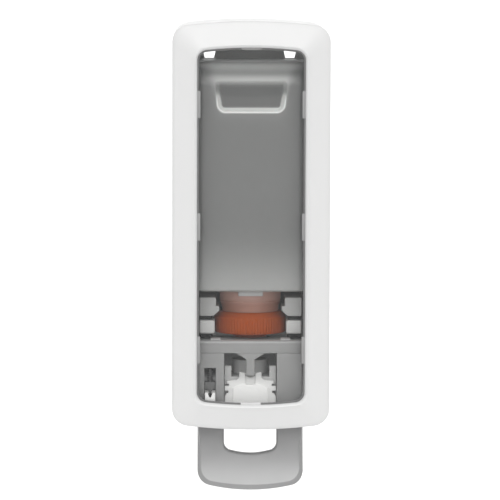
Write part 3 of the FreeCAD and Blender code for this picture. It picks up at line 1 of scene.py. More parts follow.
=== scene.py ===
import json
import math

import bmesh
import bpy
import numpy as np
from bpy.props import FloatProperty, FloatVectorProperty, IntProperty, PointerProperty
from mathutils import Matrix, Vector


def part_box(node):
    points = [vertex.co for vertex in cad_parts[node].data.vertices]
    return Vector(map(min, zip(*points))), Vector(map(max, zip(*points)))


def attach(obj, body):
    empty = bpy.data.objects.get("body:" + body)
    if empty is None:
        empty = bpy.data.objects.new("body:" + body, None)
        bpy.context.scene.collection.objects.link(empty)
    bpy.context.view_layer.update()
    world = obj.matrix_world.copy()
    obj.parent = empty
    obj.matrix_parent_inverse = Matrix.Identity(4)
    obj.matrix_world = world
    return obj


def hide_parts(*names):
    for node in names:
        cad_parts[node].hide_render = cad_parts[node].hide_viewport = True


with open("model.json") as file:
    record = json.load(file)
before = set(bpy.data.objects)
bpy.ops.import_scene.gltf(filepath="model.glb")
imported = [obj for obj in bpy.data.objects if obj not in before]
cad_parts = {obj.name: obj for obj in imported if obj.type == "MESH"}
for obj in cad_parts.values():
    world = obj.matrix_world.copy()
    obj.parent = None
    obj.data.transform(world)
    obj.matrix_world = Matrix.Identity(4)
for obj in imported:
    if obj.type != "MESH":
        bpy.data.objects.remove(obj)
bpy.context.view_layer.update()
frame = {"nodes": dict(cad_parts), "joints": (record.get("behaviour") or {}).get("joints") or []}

bl_info = {
    "name": "Wall soap dispenser",
    "version": (1, 0, 0),
    "blender": (4, 5, 0),
    "location": "3D View > Sidebar > Dispenser",
    "description": "Finishes the dispenser's visible pieces around its CAD frame",
    "category": "Object",
}

MM = 0.001


# ---- Places read from the frame -----------------------------------------------------
def low(node):
    """The lowest corner of a CAD node."""
    return np.array(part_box(node)[0])


def high(node):
    """The highest corner of a CAD node."""
    return np.array(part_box(node)[1])


COVER_LOW, COVER_HIGH = low("front_cover"), high("front_cover")
BOTTLE_LOW, BOTTLE_HIGH = low("refill_bottle"), high("refill_bottle")
CAP_LOW, CAP_HIGH = low("cap_collar"), high("cap_collar")
LEVER_LOW, LEVER_HIGH = low("push_lever"), high("push_lever")
PUMP_FRONT = -(CAP_LOW[1] + CAP_HIGH[1]) / 2
NECK_LONG = 27.3 * MM
BASE_Z = BOTTLE_LOW[2] + NECK_LONG
HINGE_PLACE = next(joint["pos_m"] for joint in frame["joints"] if joint["name"] == "cover_hinge")


# ---- Sizes and colours that a user would change -------------------------------------
def length(name, description, value):
    """A length setting."""
    return FloatProperty(name=name, description=description, default=value, min=0, unit="LENGTH")


def colour(name, description, value):
    """A colour setting."""
    return FloatVectorProperty(
        name=name, description=description, default=value, size=3, min=0, max=1, subtype="COLOR"
    )


class DispenserCoverSettings(bpy.types.PropertyGroup):
    """Sizes of the cover."""

    frame_wide: length("Frame width", "Width of the frame beside the window", 17.5 * MM)
    frame_end: length("Frame ends", "Width of the frame above and below the window", 18.1 * MM)
    frame_rise: length("Frame rise", "How far the frame slopes forwards to the window", 7 * MM)
    corner: length("Corner", "Radius of the cover's corners", 12 * MM)
    crown: length("Crown", "Rise of the arched top and bottom edges", 4 * MM)
    wall: length("Wall", "Thickness of the cover's wall", 2.5 * MM)
    edge: length("Window edge", "Rounding of the window's edge", 3 * MM)
    ledge: length("Ledge", "Width of the seat behind the window's edge", 4.5 * MM)
    window_corner: length("Window corner", "Radius of the window's corners", 7 * MM)
    window_crown: length("Window crown", "Rise of the window's arched ends", 2.5 * MM)
    rim: length("Outer rounding", "Rounding between the side wall and the frame", 1.2 * MM)


class DispenserBottleSettings(bpy.types.PropertyGroup):
    """Sizes of the bottle and its cap."""

    corner: length("Corner", "Radius of the bottle's upright edges", 13 * MM)
    shoulder: length("Shoulder", "Rounding of the bottle's top", 5 * MM)
    base_edge: length("Base edge", "Rounding of the bottle's base", 2 * MM)
    recess: length("Recess", "Depth of the grip recess", 6.5 * MM)
    ribs: IntProperty(name="Ribs", description="Ribs round the cap", default=72, min=8, max=200)
    rib_deep: length("Rib depth", "Depth of the grooves between the cap's ribs", 0.45 * MM)


class DispenserColourSettings(bpy.types.PropertyGroup):
    """Colours of the plastics."""

    cover: colour("Cover", "Cover and its hinge lugs", (0.59, 0.59, 0.588))
    white: colour("White", "Catch and back plate", (0.72, 0.72, 0.715))
    carriage: colour("Carriage", "Carriage's front panel", (0.86, 0.86, 0.855))
    pale: colour("Pale", "Cradle", (0.51, 0.51, 0.505))
    grey: colour("Grey", "Housing", (0.265, 0.265, 0.265))
    fork: colour("Fork", "Neck fork", (0.345, 0.345, 0.342))
    lever: colour("Lever", "Push lever", (0.222, 0.222, 0.222))
    disc: colour("Disc", "Actuator disc", (0.68, 0.68, 0.675))
    bottle: colour("Bottle", "Translucent bottle", (0.147, 0.149, 0.147))
    neck: colour("Neck", "Bottle's neck, where the soap shows", (0.36, 0.168, 0.118))
    cap: colour("Cap", "Ribbed screw cap", (0.317, 0.054, 0.001))
    # Dark also serves, much darkened, as painted shadow on the slot blocks and the cradle's feet.
    dark: colour("Dark", "Seals and pads", (0.05, 0.05, 0.05))


# ---- Mesh helpers -------------------------------------------------------------------
def grid_faces(rows, columns, wrap_rows=False, wrap_columns=True):
    """Quads of a grid of points, as rows of four point numbers."""
    row = np.arange(rows if wrap_rows else rows - 1)
    column = np.arange(columns if wrap_columns else columns - 1)
    row, column = np.meshgrid(row, column, indexing="ij")
    next_row = (row + 1) % rows
    next_column = (column + 1) % columns
    corners = (
        row * columns + column,
        row * columns + next_column,
        next_row * columns + next_column,
        next_row * columns + column,
    )
    return np.stack(corners, axis=-1).reshape(-1, 4)


def new_piece(name, parts, finish, body, nodes=(), angle=35):
    """A mesh object from (points, faces, cap loops) parts, outward facing, riding on a body."""
    mesh = bpy.data.meshes.new(name)
    points, faces, start = [], [], 0
    for part_points, part_faces, loops in parts:
        points.append(np.asarray(part_points, dtype=float))
        faces += [tuple(int(number) + start for number in face) for face in part_faces.tolist()]
        faces += [tuple(int(number) + start for number in loop) for loop in loops]
        start += len(part_points)
    mesh.from_pydata(np.concatenate(points).tolist(), [], faces)
    mesh.validate()
    work = bmesh.new()
    work.from_mesh(mesh)
    bmesh.ops.remove_doubles(work, verts=work.verts, dist=1e-6)
    bmesh.ops.recalc_face_normals(work, faces=work.faces)
    work.to_mesh(mesh)
    work.free()
    return finish_piece(bpy.data.objects.new(name, mesh), finish, body, nodes, angle)


def finish_piece(piece, finish, body, nodes, angle):
    bpy.context.scene.collection.objects.link(piece)
    piece.data.polygons.foreach_set("use_smooth", np.ones(len(piece.data.polygons), dtype=bool))
    piece.data.set_sharp_from_angle(angle=math.radians(angle))
    piece.data.materials.clear()
    piece.data.materials.append(materials[finish])
    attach(piece, body)
    if nodes:
        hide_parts(*nodes)
    return piece


def arc(centre, radius, start, end, count):
    """Points on an arc, from one angle in degrees to another, both ends included."""
    angle = np.radians(np.linspace(start, end, count))
    return np.stack((np.cos(angle), np.sin(angle)), axis=-1) * radius + centre


def crowned(half_wide, half_tall, corner, crown, marks=(), side_marks=(), fine=9):
    """An outline with upright sides, round corners and arched top and bottom edges.

    Formula in words: the arch is a circle through the crown's rise; each corner is a circle that
    touches the side and the arch from inside, so the joins are smooth. Marks are shares of the
    arch's half width, and side marks are heights, at which extra points stand.
    """
    radius = (half_wide ** 2 + crown ** 2) / (2 * crown)
    arch_z = half_tall - radius
    corner_x = half_wide - corner
    reach = radius - corner
    corner_z = arch_z + math.sqrt(reach ** 2 - corner_x ** 2)
    join = math.degrees(math.atan2(corner_z - arch_z, corner_x))
    across = np.unique(np.concatenate((np.linspace(-1, 1, 41), marks, -np.asarray(marks)))) * 1.0
    inner = across[1:-1] * corner_x * radius / reach
    arch = np.stack((inner, arch_z + np.sqrt(radius ** 2 - inner ** 2)), axis=-1)
    levels = np.unique(np.concatenate((np.linspace(-1, 1, 61), side_marks)))[1:-1] * corner_z
    side = np.stack((np.full_like(levels, half_wide), levels), axis=-1)
    bend = arc((corner_x, corner_z), corner, 0, join, fine)
    mirrored = bend[::-1] * (-1, 1)
    upper = np.concatenate((side, bend, arch[::-1], mirrored))
    lower = -upper
    return np.concatenate((upper, lower))


def upright(outline, front):
    """Points of an outline in the front view at a distance from the wall."""
    front = np.broadcast_to(front, len(outline))
    return np.stack((outline[:, 0], -front, outline[:, 1]), axis=-1)


def shrink(outline, amount):
    """An outline moved along its inward normals."""
    step = np.roll(outline, -1, axis=0) - np.roll(outline, 1, axis=0)
    normal = np.stack((-step[:, 1], step[:, 0]), axis=-1)
    normal /= np.maximum(np.linalg.norm(normal, axis=1, keepdims=True), 1e-12)
    x, y = outline.T
    area = np.sum(x * np.roll(y, -1) - np.roll(x, -1) * y)
    return outline + normal * amount * np.sign(area)


def rounded_polygon(corners, radii, count=6):
    """A closed outline through corners, each rounded by an arc tangent to its two edges."""
    corners = np.asarray(corners, dtype=float)
    radii = np.broadcast_to(radii, len(corners))
    points = []
    for index, (corner, radius) in enumerate(zip(corners, radii)):
        before = corners[index - 1] - corner
        after = corners[(index + 1) % len(corners)] - corner
        before /= np.linalg.norm(before)
        after /= np.linalg.norm(after)
        half = math.acos(np.clip(before @ after, -1, 1)) / 2
        reach = radius / math.tan(half)
        inward = (before + after) / np.linalg.norm(before + after)
        middle = corner + inward * radius / math.sin(half)
        first, last = corner + before * reach - middle, corner + after * reach - middle
        start = math.atan2(first[1], first[0])
        turn = math.atan2(last[1], last[0]) - start
        turn = (turn + math.pi) % (2 * math.pi) - math.pi
        angle = start + turn * np.linspace(0, 1, count)
        points.append(middle + radius * np.stack((np.cos(angle), np.sin(angle)), axis=-1))
    return np.concatenate(points)


def rectangle(low_x, high_x, low_z, high_z, radius, count=6):
    """A rectangle with round corners, its sizes in millimetres."""
    corners = np.array([(low_x, low_z), (high_x, low_z), (high_x, high_z), (low_x, high_z)])
    return rounded_polygon(corners * MM, radius * MM, count)


def slab(outline, back, front, rounding, place=upright, steps=5):
    """A prism between two distances with a quarter-round rim at each end.

    Formula in words: the outline is carried from back to front; near each end it moves inwards
    by rounding * (1 - cos a) while the distance changes by rounding * sin a.
    """
    angle = np.radians(np.linspace(90, 0, steps))
    insets = rounding * (1 - np.cos(angle))
    deep = rounding * (1 - np.sin(angle))
    rows = [place(shrink(outline, inset), back + step) for inset, step in zip(insets, deep)]
    rows += [place(shrink(outline, inset), front - step)
             for inset, step in zip(insets[::-1], deep[::-1])]
    count = len(outline)
    loops = (range(count), range(count * (len(rows) - 1), count * len(rows)))
    return np.concatenate(rows), grid_faces(len(rows), count), loops


def turned(profile, count, centre, radius_at=None):
    """A closed ring: a profile of radius and height carried round an upright axis.

    Formula in words: point = centre + radius * (cos t, sin t), with the radius changed by
    radius_at(radius, height, t) where it is given.
    """
    profile = np.asarray(profile, dtype=float)
    angle = np.linspace(0, 2 * math.pi, count, endpoint=False)
    radius = np.repeat(profile[:, 0][:, None], count, axis=1)
    height = np.repeat(profile[:, 1][:, None], count, axis=1)
    if radius_at is not None:
        radius = radius_at(radius, height, angle[None, :])
    across = centre[0] + radius * np.cos(angle)
    along = centre[1] + radius * np.sin(angle)
    points = np.stack((across, along, height), axis=-1).reshape(-1, 3)
    return points, grid_faces(len(profile), count, wrap_rows=True), ()


def softened_copy(node, name, width, finish, body, kept=None):
    """A merged copy of a CAD node, or of its part beyond a kept (point, normal) plane, bevelled."""
    mesh = frame["nodes"][node].data.copy()
    mesh.name = name
    work = bmesh.new()
    work.from_mesh(mesh)
    bmesh.ops.remove_doubles(work, verts=work.verts, dist=2e-6)
    if kept is not None:
        place, direction = kept
        everything = work.verts[:] + work.edges[:] + work.faces[:]
        bmesh.ops.bisect_plane(
            work, geom=everything, plane_co=place, plane_no=direction, clear_inner=True
        )
        open_edges = [edge for edge in work.edges if edge.is_boundary]
        bmesh.ops.triangle_fill(work, use_beauty=True, edges=open_edges, normal=direction)
    bmesh.ops.dissolve_limit(
        work, angle_limit=math.radians(1.5), verts=work.verts, edges=work.edges, delimit={"NORMAL"}
    )
    bmesh.ops.recalc_face_normals(work, faces=work.faces)
    work.to_mesh(mesh)
    work.free()
    piece = bpy.data.objects.new(name, mesh)
    finish_piece(piece, finish, body, (), 35)
    bevel = piece.modifiers.new("Rounded edges", "BEVEL")
    bevel.width = width * MM
    bevel.segments = 2
    bevel.limit_method = "ANGLE"
    bevel.angle_limit = math.radians(35)
    bevel.harden_normals = True
    return piece


# ---- Material helpers ---------------------------------------------------------------
class Nodes:
    """A material's node tree with short calls for adding and linking."""

    # A Mix node's sockets that carry colours.
    FIRST, SECOND, MIXED = 6, 7, 2

    def __init__(self, name):
        self.material = bpy.data.materials.new(name)
        self.material.use_nodes = True
        self.tree = self.material.node_tree
        self.shader = self.tree.nodes["Principled BSDF"]
        self.output = self.tree.nodes["Material Output"]
        self.place = self.add("ShaderNodeTexCoord").outputs["Object"]

    def add(self, kind, **values):
        """A node with its plain values set."""
        node = self.tree.nodes.new(kind)
        for key, value in values.items():
            setattr(node, key, value)
        return node

    def link(self, source, target):
        """A link between two sockets."""
        self.tree.links.new(source, target)

    def paint(self, source):
        """The surface's colour."""
        self.link(source, self.shader.inputs["Base Color"])

    def shine(self, source):
        """The surface's roughness."""
        self.link(source, self.shader.inputs["Roughness"])

    def noise(self, scale, detail=3, stretch=(1, 1, 1)):
        """Noise in object space."""
        mapping = self.add("ShaderNodeMapping")
        mapping.inputs["Scale"].default_value = stretch
        self.link(self.place, mapping.inputs["Vector"])
        node = self.add("ShaderNodeTexNoise")
        node.inputs["Scale"].default_value = scale
        node.inputs["Detail"].default_value = detail
        self.link(mapping.outputs["Vector"], node.inputs["Vector"])
        return node.outputs["Fac"]

    def spread(self, source, start, end, new_start=0.0, new_end=1.0):
        """A value mapped smoothly from one range to another."""
        node = self.add("ShaderNodeMapRange", interpolation_type="SMOOTHSTEP")
        ends = {"From Min": start, "From Max": end, "To Min": new_start, "To Max": new_end}
        for key, value in ends.items():
            node.inputs[key].default_value = value
        self.link(source, node.inputs["Value"])
        return node.outputs["Result"]

    def blend(self, share, first, second):
        """A colour between two; each is a colour or a socket."""
        node = self.add("ShaderNodeMix", data_type="RGBA")
        self.link(share, node.inputs["Factor"])
        for socket, value in ((self.FIRST, first), (self.SECOND, second)):
            if isinstance(value, bpy.types.NodeSocket):
                self.link(value, node.inputs[socket])
            else:
                node.inputs[socket].default_value = (*value, 1)
        return node.outputs[self.MIXED]

    def height(self):
        """The object-space height."""
        node = self.add("ShaderNodeSeparateXYZ")
        self.link(self.place, node.inputs["Vector"])
        return node.outputs["Z"]

    def relief(self, source, strength, distance):
        """Bump from a value."""
        node = self.add("ShaderNodeBump")
        node.inputs["Strength"].default_value = strength
        node.inputs["Distance"].default_value = distance
        self.link(source, node.inputs["Height"])
        self.link(node.outputs["Normal"], self.shader.inputs["Normal"])


def shade(value, factor):
    """A colour made lighter or darker."""
    return tuple(min(1.0, part * factor) for part in value)


def plastic(name, base, roughness, grain=900, relief=0.12, clouding=0.03, gloss=0.5):
    """Moulded plastic: faint clouding of colour and shine, and a fine moulded grain."""
    nodes = Nodes(name)
    cloud = nodes.noise(38, 4)
    nodes.paint(nodes.blend(cloud, shade(base, 1 - clouding), shade(base, 1 + clouding)))
    smear = nodes.noise(110, 3, (1, 1, 0.35))
    nodes.shine(nodes.spread(smear, 0.3, 0.7, roughness * 0.85, roughness * 1.15))
    nodes.shader.inputs["Specular IOR Level"].default_value = gloss
    nodes.relief(nodes.noise(grain, 2), relief, 0.0002)
    return nodes.material


def bottle_plastic(name, body, neck, neck_top):
    """Translucent bottle: painted light towards the foot, soap-coloured at the neck with painted
    shade on the neck's lower part.

    The piece's own point attribute is 0.5 for the plain wall; lower values paint shade inside the
    grip recess, and higher values paint highlights on the recess's lip and on the sloping top.
    """
    nodes = Nodes(name)
    at_neck = nodes.spread(nodes.height(), neck_top - 0.003, neck_top + 0.001, 1, 0)
    cloud = nodes.noise(30, 4, (1, 1, 0.5))
    plain = nodes.blend(cloud, shade(body, 0.97), shade(body, 1.04))
    # Painted light: the body is painted lighter towards its foot.
    painted_foot_light = nodes.spread(nodes.height(), neck_top - 0.016, neck_top + 0.046, 1, 0)
    lit_towards_foot = nodes.blend(painted_foot_light, plain, shade(body, 2.4))
    painted_light_and_shade = nodes.add("ShaderNodeAttribute", attribute_name="painted_light_and_shade").outputs["Fac"]
    # Painted shade in the grip recess, and painted highlights on its lip and sloping top, read from
    # the piece's point attribute.
    deep = nodes.blend(nodes.spread(painted_light_and_shade, 0, 0.5, 1, 0), lit_towards_foot, shade(body, 0.55))
    painted_lip_highlight = nodes.blend(nodes.spread(painted_light_and_shade, 0.5, 1), deep, shade(body, 5.5))
    pale_neck = tuple(part * 0.9 + 0.1 for part in neck)
    # Painted shade: the neck's lower part, inside the fork, is painted darker than its upper part.
    below = nodes.spread(nodes.height(), neck_top - 0.012, neck_top - 0.005)
    soap = nodes.blend(below, shade(neck, 0.81), pale_neck)
    nodes.paint(nodes.blend(at_neck, painted_lip_highlight, soap))
    nodes.shader.inputs["Roughness"].default_value = 0.36
    nodes.shader.inputs["Subsurface Weight"].default_value = 0.2
    nodes.shader.inputs["Subsurface Radius"].default_value = (0.004, 0.003, 0.003)
    nodes.shader.inputs["Subsurface Scale"].default_value = 1.0
    nodes.relief(nodes.noise(45, 2, (1, 1, 0.6)), 0.03, 0.0005)
    return nodes.material


def clear_sheet(name):
    """A clear polished sheet that shows what is behind it."""
    nodes = Nodes(name)
    shader = nodes.shader
    shader.inputs["Base Color"].default_value = (0.9, 0.92, 0.93, 1)
    shader.inputs["Roughness"].default_value = 0.06
    clear = nodes.add("ShaderNodeBsdfTransparent")
    clear.inputs["Color"].default_value = (0.955, 0.955, 0.952, 1)
    mix = nodes.add("ShaderNodeMixShader")
    turned_away = nodes.add("ShaderNodeLayerWeight").outputs["Facing"]
    nodes.link(nodes.spread(turned_away, 0.45, 1, 0.02, 0.8), mix.inputs["Fac"])
    nodes.link(clear.outputs["BSDF"], mix.inputs[1])
    nodes.link(shader.outputs["BSDF"], mix.inputs[2])
    nodes.link(mix.outputs["Shader"], nodes.output.inputs["Surface"])
    nodes.relief(nodes.noise(14, 2), 0.02, 0.001)
    return nodes.material


def painted_light_plastic(name, low_colour, high_colour, low_z, high_z, roughness):
    """Moulded plastic whose colour changes slowly with height: painted light and shade, lighter where
    more light falls on the piece and darker where less falls.
    """
    nodes = Nodes(name)
    share = nodes.spread(nodes.height(), low_z, high_z)
    plain = nodes.blend(share, low_colour, high_colour)
    cloud = nodes.blend(nodes.noise(38, 4), (0.98, 0.98, 0.98), (1, 1, 1))
    mix = nodes.add("ShaderNodeMix", data_type="RGBA", blend_type="MULTIPLY")
    mix.inputs["Factor"].default_value = 1
    nodes.link(plain, mix.inputs[nodes.FIRST])
    nodes.link(cloud, mix.inputs[nodes.SECOND])
    nodes.paint(mix.outputs[nodes.MIXED])
    nodes.shine(nodes.spread(nodes.noise(110), 0.3, 0.7, roughness * 0.85, roughness * 1.15))
    nodes.relief(nodes.noise(1200, 2), 0.08, 0.0002)
    return nodes.material


def steel(name, roughness=0.28):
    """Drawn steel with fine lengthwise brushing."""
    nodes = Nodes(name)
    brush = nodes.noise(260, 3, (1, 1, 0.08))
    nodes.paint(nodes.blend(brush, (0.5, 0.5, 0.51), (0.66, 0.66, 0.67)))
    nodes.shader.inputs["Metallic"].default_value = 1.0
    nodes.shine(nodes.spread(brush, 0.2, 0.8, roughness * 0.8, roughness * 1.3))
    nodes.relief(brush, 0.08, 0.0002)
    return nodes.material


def rubber(name, base):
    """Matt seal rubber with a dusty bloom."""
    nodes = Nodes(name)
    bloom = nodes.noise(140, 4)
    nodes.paint(nodes.blend(bloom, base, shade(base, 1.5)))
    nodes.shader.inputs["Roughness"].default_value = 0.7
    nodes.relief(nodes.noise(1500, 2), 0.15, 0.0002)
    return nodes.material


materials = {}


def make_materials(settings):
    """All finishes, kept by name for the pieces."""
    front, grey, lever, dark = settings.carriage, settings.grey, settings.lever, settings.dark
    moulded = (
        ("cover", settings.cover, 0.34, 1100, 0.05, 0.01),
        # Painted shade: the foot tab is the cover's plastic painted a little darker.
        ("foot_tab", shade(settings.cover, 0.9), 0.4, 1100, 0.05, 0.02),
        ("white", settings.white, 0.36, 1100, 0.05, 0.012),
        # Painted shade: the window's tabs, recessed behind the frame, are the cover's plastic painted
        # much darker.
        ("tab", shade(settings.cover, 0.4), 0.4, 1100, 0.05, 0.02),
        ("pale", settings.pale, 0.36, 1100, 0.05, 0.02),
        ("fork", settings.fork, 0.42, 1400, 0.12, 0.03),
        # Painted shade: the lever's rim faces down and stays near the plain lever colour, darker than
        # the painted light on the face.
        ("lever_rim", shade(lever, 1.1), 0.4, 1100, 0.05),
        ("carriage", front, 0.36, 1100, 0.05, 0.02),
        # Painted shade: the deck is the carriage's plastic painted darker, where the shelf shades it.
        ("deck", shade(front, 0.5), 0.4, 1100, 0.05, 0.02),
        ("bolt", shade(grey, 0.46), 0.45),
        ("grey", grey, 0.42, 1400, 0.16, 0.03),
        ("disc", settings.disc, 0.5, 900, 0.2, 0.05),
        ("orange", settings.cap, 0.5, 900, 0.1, 0.04, 0.05),
        ("natural", (0.7, 0.7, 0.68), 0.35),
    )
    for name, *values in moulded:
        materials[name] = plastic(name + "_plastic", *values)
    lever_foot = LEVER_LOW[2] / MM
    painted_light_grades = (
        # Painted light: the lever is painted lighter towards its forward-swept foot.
        ("lever", shade(lever, 1.7), lever, lever_foot, lever_foot + 26),
        # Painted shade: the apron is painted darker at its top, under the shelf, and lighter below.
        ("apron", shade(front, 0.9), shade(front, 0.6), -114, -104),
        # Painted highlight: the shelf's bar is painted lighter along its top rounding.
        ("bar", grey, shade(grey, 1.65), -83.4, -81.2),
    )
    for name, low_colour, high_colour, low_z, high_z in painted_light_grades:
        materials[name] = painted_light_plastic(
            name + "_plastic", low_colour, high_colour, low_z * MM, high_z * MM, 0.36
        )
    # Painted shadow: the pad finish is a near-black that stands in for the shadow in the slots and
    # under the cradle.
    rubbers = (("rim", "rim_seal", shade(dark, 2.4)), ("slot_shadow", "painted_shadow_black", shade(dark, 0.16)),
               ("seal", "dark_seal", dark), ("soft", "soft_valve", (0.55, 0.55, 0.52)),
               ("black_spring", "blackened_spring", dark))
    for key, name, base in rubbers:
        materials[key] = rubber(name, base)
    materials["bottle"] = bottle_plastic("bottle_plastic", settings.bottle, settings.neck, BASE_Z)
    materials["clear"] = clear_sheet("clear_sheet")
    materials["steel"] = steel("bright_steel")
    materials["spring"] = steel("spring_wire", 0.22)


# ---- Cover --------------------------------------------------------------------------
def cover_shell(settings):
    """The picture-frame cover as one closed surface.

    Formula in words: the first parameter runs round the outline; the second runs over a section
    that goes up the side wall, down the frame's slope between the outer outline and the window's
    outline, round the window's edge, and back along the inside. The wall's rear edge stands at a
    distance that depends on the place along the outline: further forward over the hinge and
    where the bottom is open.
    """
    half_wide, half_tall = COVER_HIGH[0], COVER_HIGH[2]
    deep = -COVER_LOW[1]
    cut_half = 41.6 * MM
    notch_z = 127.6 * MM
    # The arch ends a little outside the corners' centres.
    arch_half = (half_wide - settings.corner) * 1.0326
    marks = (cut_half / arch_half - 0.002, cut_half / arch_half + 0.002)
    side_marks = (0.9945, 0.9965, -0.9945, -0.9965)

    def outer(inset):
        return crowned(half_wide - inset, half_tall - inset, settings.corner - inset,
                       settings.crown * (1 - inset / half_wide) ** 2, marks, side_marks)

    def window(growth):
        return crowned(
            half_wide - settings.frame_wide + growth, half_tall - settings.frame_end + growth,
            settings.window_corner + growth, settings.window_crown, marks, side_marks,
        )

    def between(share):
        return outer(0) * (1 - share) + window(0) * share

    edge = outer(0)
    rear = np.full(len(edge), 4 * MM)
    slope_front = deep - settings.frame_rise
    open_foot = (edge[:, 1] < -notch_z) & (np.abs(edge[:, 0]) < cut_half)
    rear[edge[:, 1] > notch_z] = -HINGE_PLACE[1]
    rear[open_foot] = slope_front - 8 * MM
    tilt = math.atan2(settings.frame_rise, settings.frame_wide)
    lip = 0.4 * MM
    rows = [upright(outer(lip), rear), upright(outer(lip * 0.3), rear + lip * 0.3)]
    rows.append(upright(edge, rear + lip))
    rows += [upright(edge, np.maximum(rear + lip, share * (slope_front - settings.rim)))
             for share in (0.25, 0.5, 0.75, 0.96, 1)]
    for angle in np.radians(np.linspace(15, 75, 5)):
        across = settings.rim * (1 - math.cos(angle)) * 0.75
        forward = slope_front - settings.rim + settings.rim * math.sin(angle)
        rows.append(upright(outer(across), forward))
    first = settings.rim / settings.frame_wide * 0.9
    for share in np.linspace(first, 1, 12):
        growth = share * settings.frame_wide
        if growth < settings.frame_wide - settings.edge * (1 - math.sin(tilt)):
            rows.append(upright(between(share), slope_front + settings.frame_rise * share))
    for angle in np.linspace(tilt, math.pi / 2, 8):
        growth = settings.edge * (1 - math.sin(angle))
        forward = deep - settings.edge * (1 - math.cos(angle)) - 0.2 * MM
        rows.append(upright(window(growth), forward))
    ledge_front = deep - 3.5 * MM
    rows.append(upright(window(0), ledge_front))
    rows.append(upright(window(settings.ledge), ledge_front))
    inside = slope_front - settings.wall
    rows.append(upright(outer(settings.wall), np.maximum(rear + lip, inside)))
    rows += [upright(outer(settings.wall), np.maximum(rear + lip, share * inside))
             for share in (0.66, 0.33, 0)]
    rows.append(upright(outer(settings.wall - lip), rear))
    count = len(edge)
    return np.concatenate(rows), grid_faces(len(rows), count, wrap_rows=True), ()


def lug_parts(settings):
    """The two hinge lugs: a round eye that runs up into the top wall."""
    parts = []
    pivot_front, pivot_z = -HINGE_PLACE[1], HINGE_PLACE[2]
    eye = 3.9 * MM
    roof = COVER_HIGH[2] - settings.wall - 0.4 * MM
    for side in (-1, 1):
        half = arc((pivot_front, pivot_z), eye, -180, 0, 25)
        outline = np.concatenate((half, [(pivot_front + eye, roof), (pivot_front, roof)]))
        near, far = sorted((side * 24.8 * MM, side * 29 * MM))
        parts.append(slab(outline, near, far, 0.3 * MM, along_x, 3))
    return parts


def tab_parts(settings):
    """The eight tabs at the window's edge: six long ones beside it and one at each end."""
    half_x = COVER_HIGH[0] - settings.frame_wide
    half_z = COVER_HIGH[2] - settings.frame_end
    root = 2 * MM
    front = -COVER_LOW[1] - 3.5 * MM
    side_shown, end_shown = 2.2 * MM, 1.6 * MM
    places = [(0, side * (half_z + (root - end_shown) / 2), 7 * MM, (root + end_shown) / 2)
              for side in (-1, 1)]
    places += [(side * (half_x + (root - side_shown) / 2), level, (root + side_shown) / 2, 9.5 * MM)
               for side in (-1, 1) for level in (-86 * MM, 0, 85 * MM)]
    parts = []
    for x, z, half_a, half_b in places:
        corners = np.array([(-1, -1), (1, -1), (1, 1), (-1, 1)]) * (half_a, half_b) + (x, z)
        outline = rounded_polygon(corners, 0.6 * MM)
        parts.append(slab(outline, front - 1 * MM, front + 0.8 * MM, 0.3 * MM, upright, 3))
    return parts


def window_ring(settings):
    """The seal that shows as a dark line round the window.

    Formula in words: a section of (millimetres outside the window, distance from the wall)
    points is carried round the window's outline.
    """
    half_wide = COVER_HIGH[0] - settings.frame_wide
    half_tall = COVER_HIGH[2] - settings.frame_end
    front = -COVER_LOW[1] - 3.55 * MM
    back = front - 0.95 * MM
    section = ((-1.1, back), (-1.2, back + 0.1 * MM), (-1.2, front - 0.3 * MM), (-0.9, front),
               (2.8, front), (2.8, back))
    rows = []
    for growth, place in section:
        wider = growth * MM
        corner, crown = settings.window_corner + wider, settings.window_crown
        rows.append(upright(crowned(half_wide + wider, half_tall + wider, corner, crown), place))
    return np.concatenate(rows), grid_faces(len(rows), len(rows[0]), wrap_rows=True), ()


def catch_parts():
    """The catch: a finger with a V notch on top, and the leg that joins it to the frame."""
    low_x, high_x = low("cover_catch")[0], high("cover_catch")[0]
    middle = (low_x + high_x) / 2
    foot, top, notch = -123.2 * MM, -116.4 * MM, -119.9 * MM
    finger = [(low_x, foot), (high_x, foot), (high_x, top), (middle + 1.3 * MM, top), (middle, notch),
              (middle - 1.3 * MM, top), (low_x, top)]
    radii = np.array([0.4, 0.4, 0.4, 0.3, 0.3, 0.3, 0.4]) * MM
    leg = rectangle(low_x / MM, high_x / MM, -132.2, foot / MM + 1, 0.4, 4)
    front = 101.8 * MM
    return [
        slab(rounded_polygon(finger, radii, 4), 87.6 * MM, front, 0.4 * MM),
        slab(leg, 97.9 * MM, front, 0.4 * MM),
    ]


class DISPENSER_OT_cover(bpy.types.Operator):
    """Makes the cover with its lugs, tabs, catch, window sheet and seal"""

    bl_idname = "dispenser.cover"
    bl_label = "Cover"

    def execute(self, context):
        settings = context.scene.dispenser_cover
        shell, catch, ring = [cover_shell(settings)], catch_parts(), [window_ring(settings)]
        tabs = tab_parts(settings)
        new_piece("cover_shell", shell, "cover", "cover", ["front_cover"], 50)
        new_piece("cover_lugs", lug_parts(settings), "cover", "cover")
        new_piece("window_tabs", tabs[1:], "tab", "cover")
        new_piece("foot_tab", tabs[:1], "foot_tab", "cover")
        new_piece("catch_finger", catch, "white", "cover", ["cover_catch"])
        new_piece("window_seal", ring, "rim", "cover", ["lens_gasket"])
        assign("window_lens", "clear")
        return {"FINISHED"}


def assign(node, finish):
    """Gives a CAD node one of the finishes."""
    for slot in frame["nodes"][node].material_slots:
        slot.material = materials[finish]


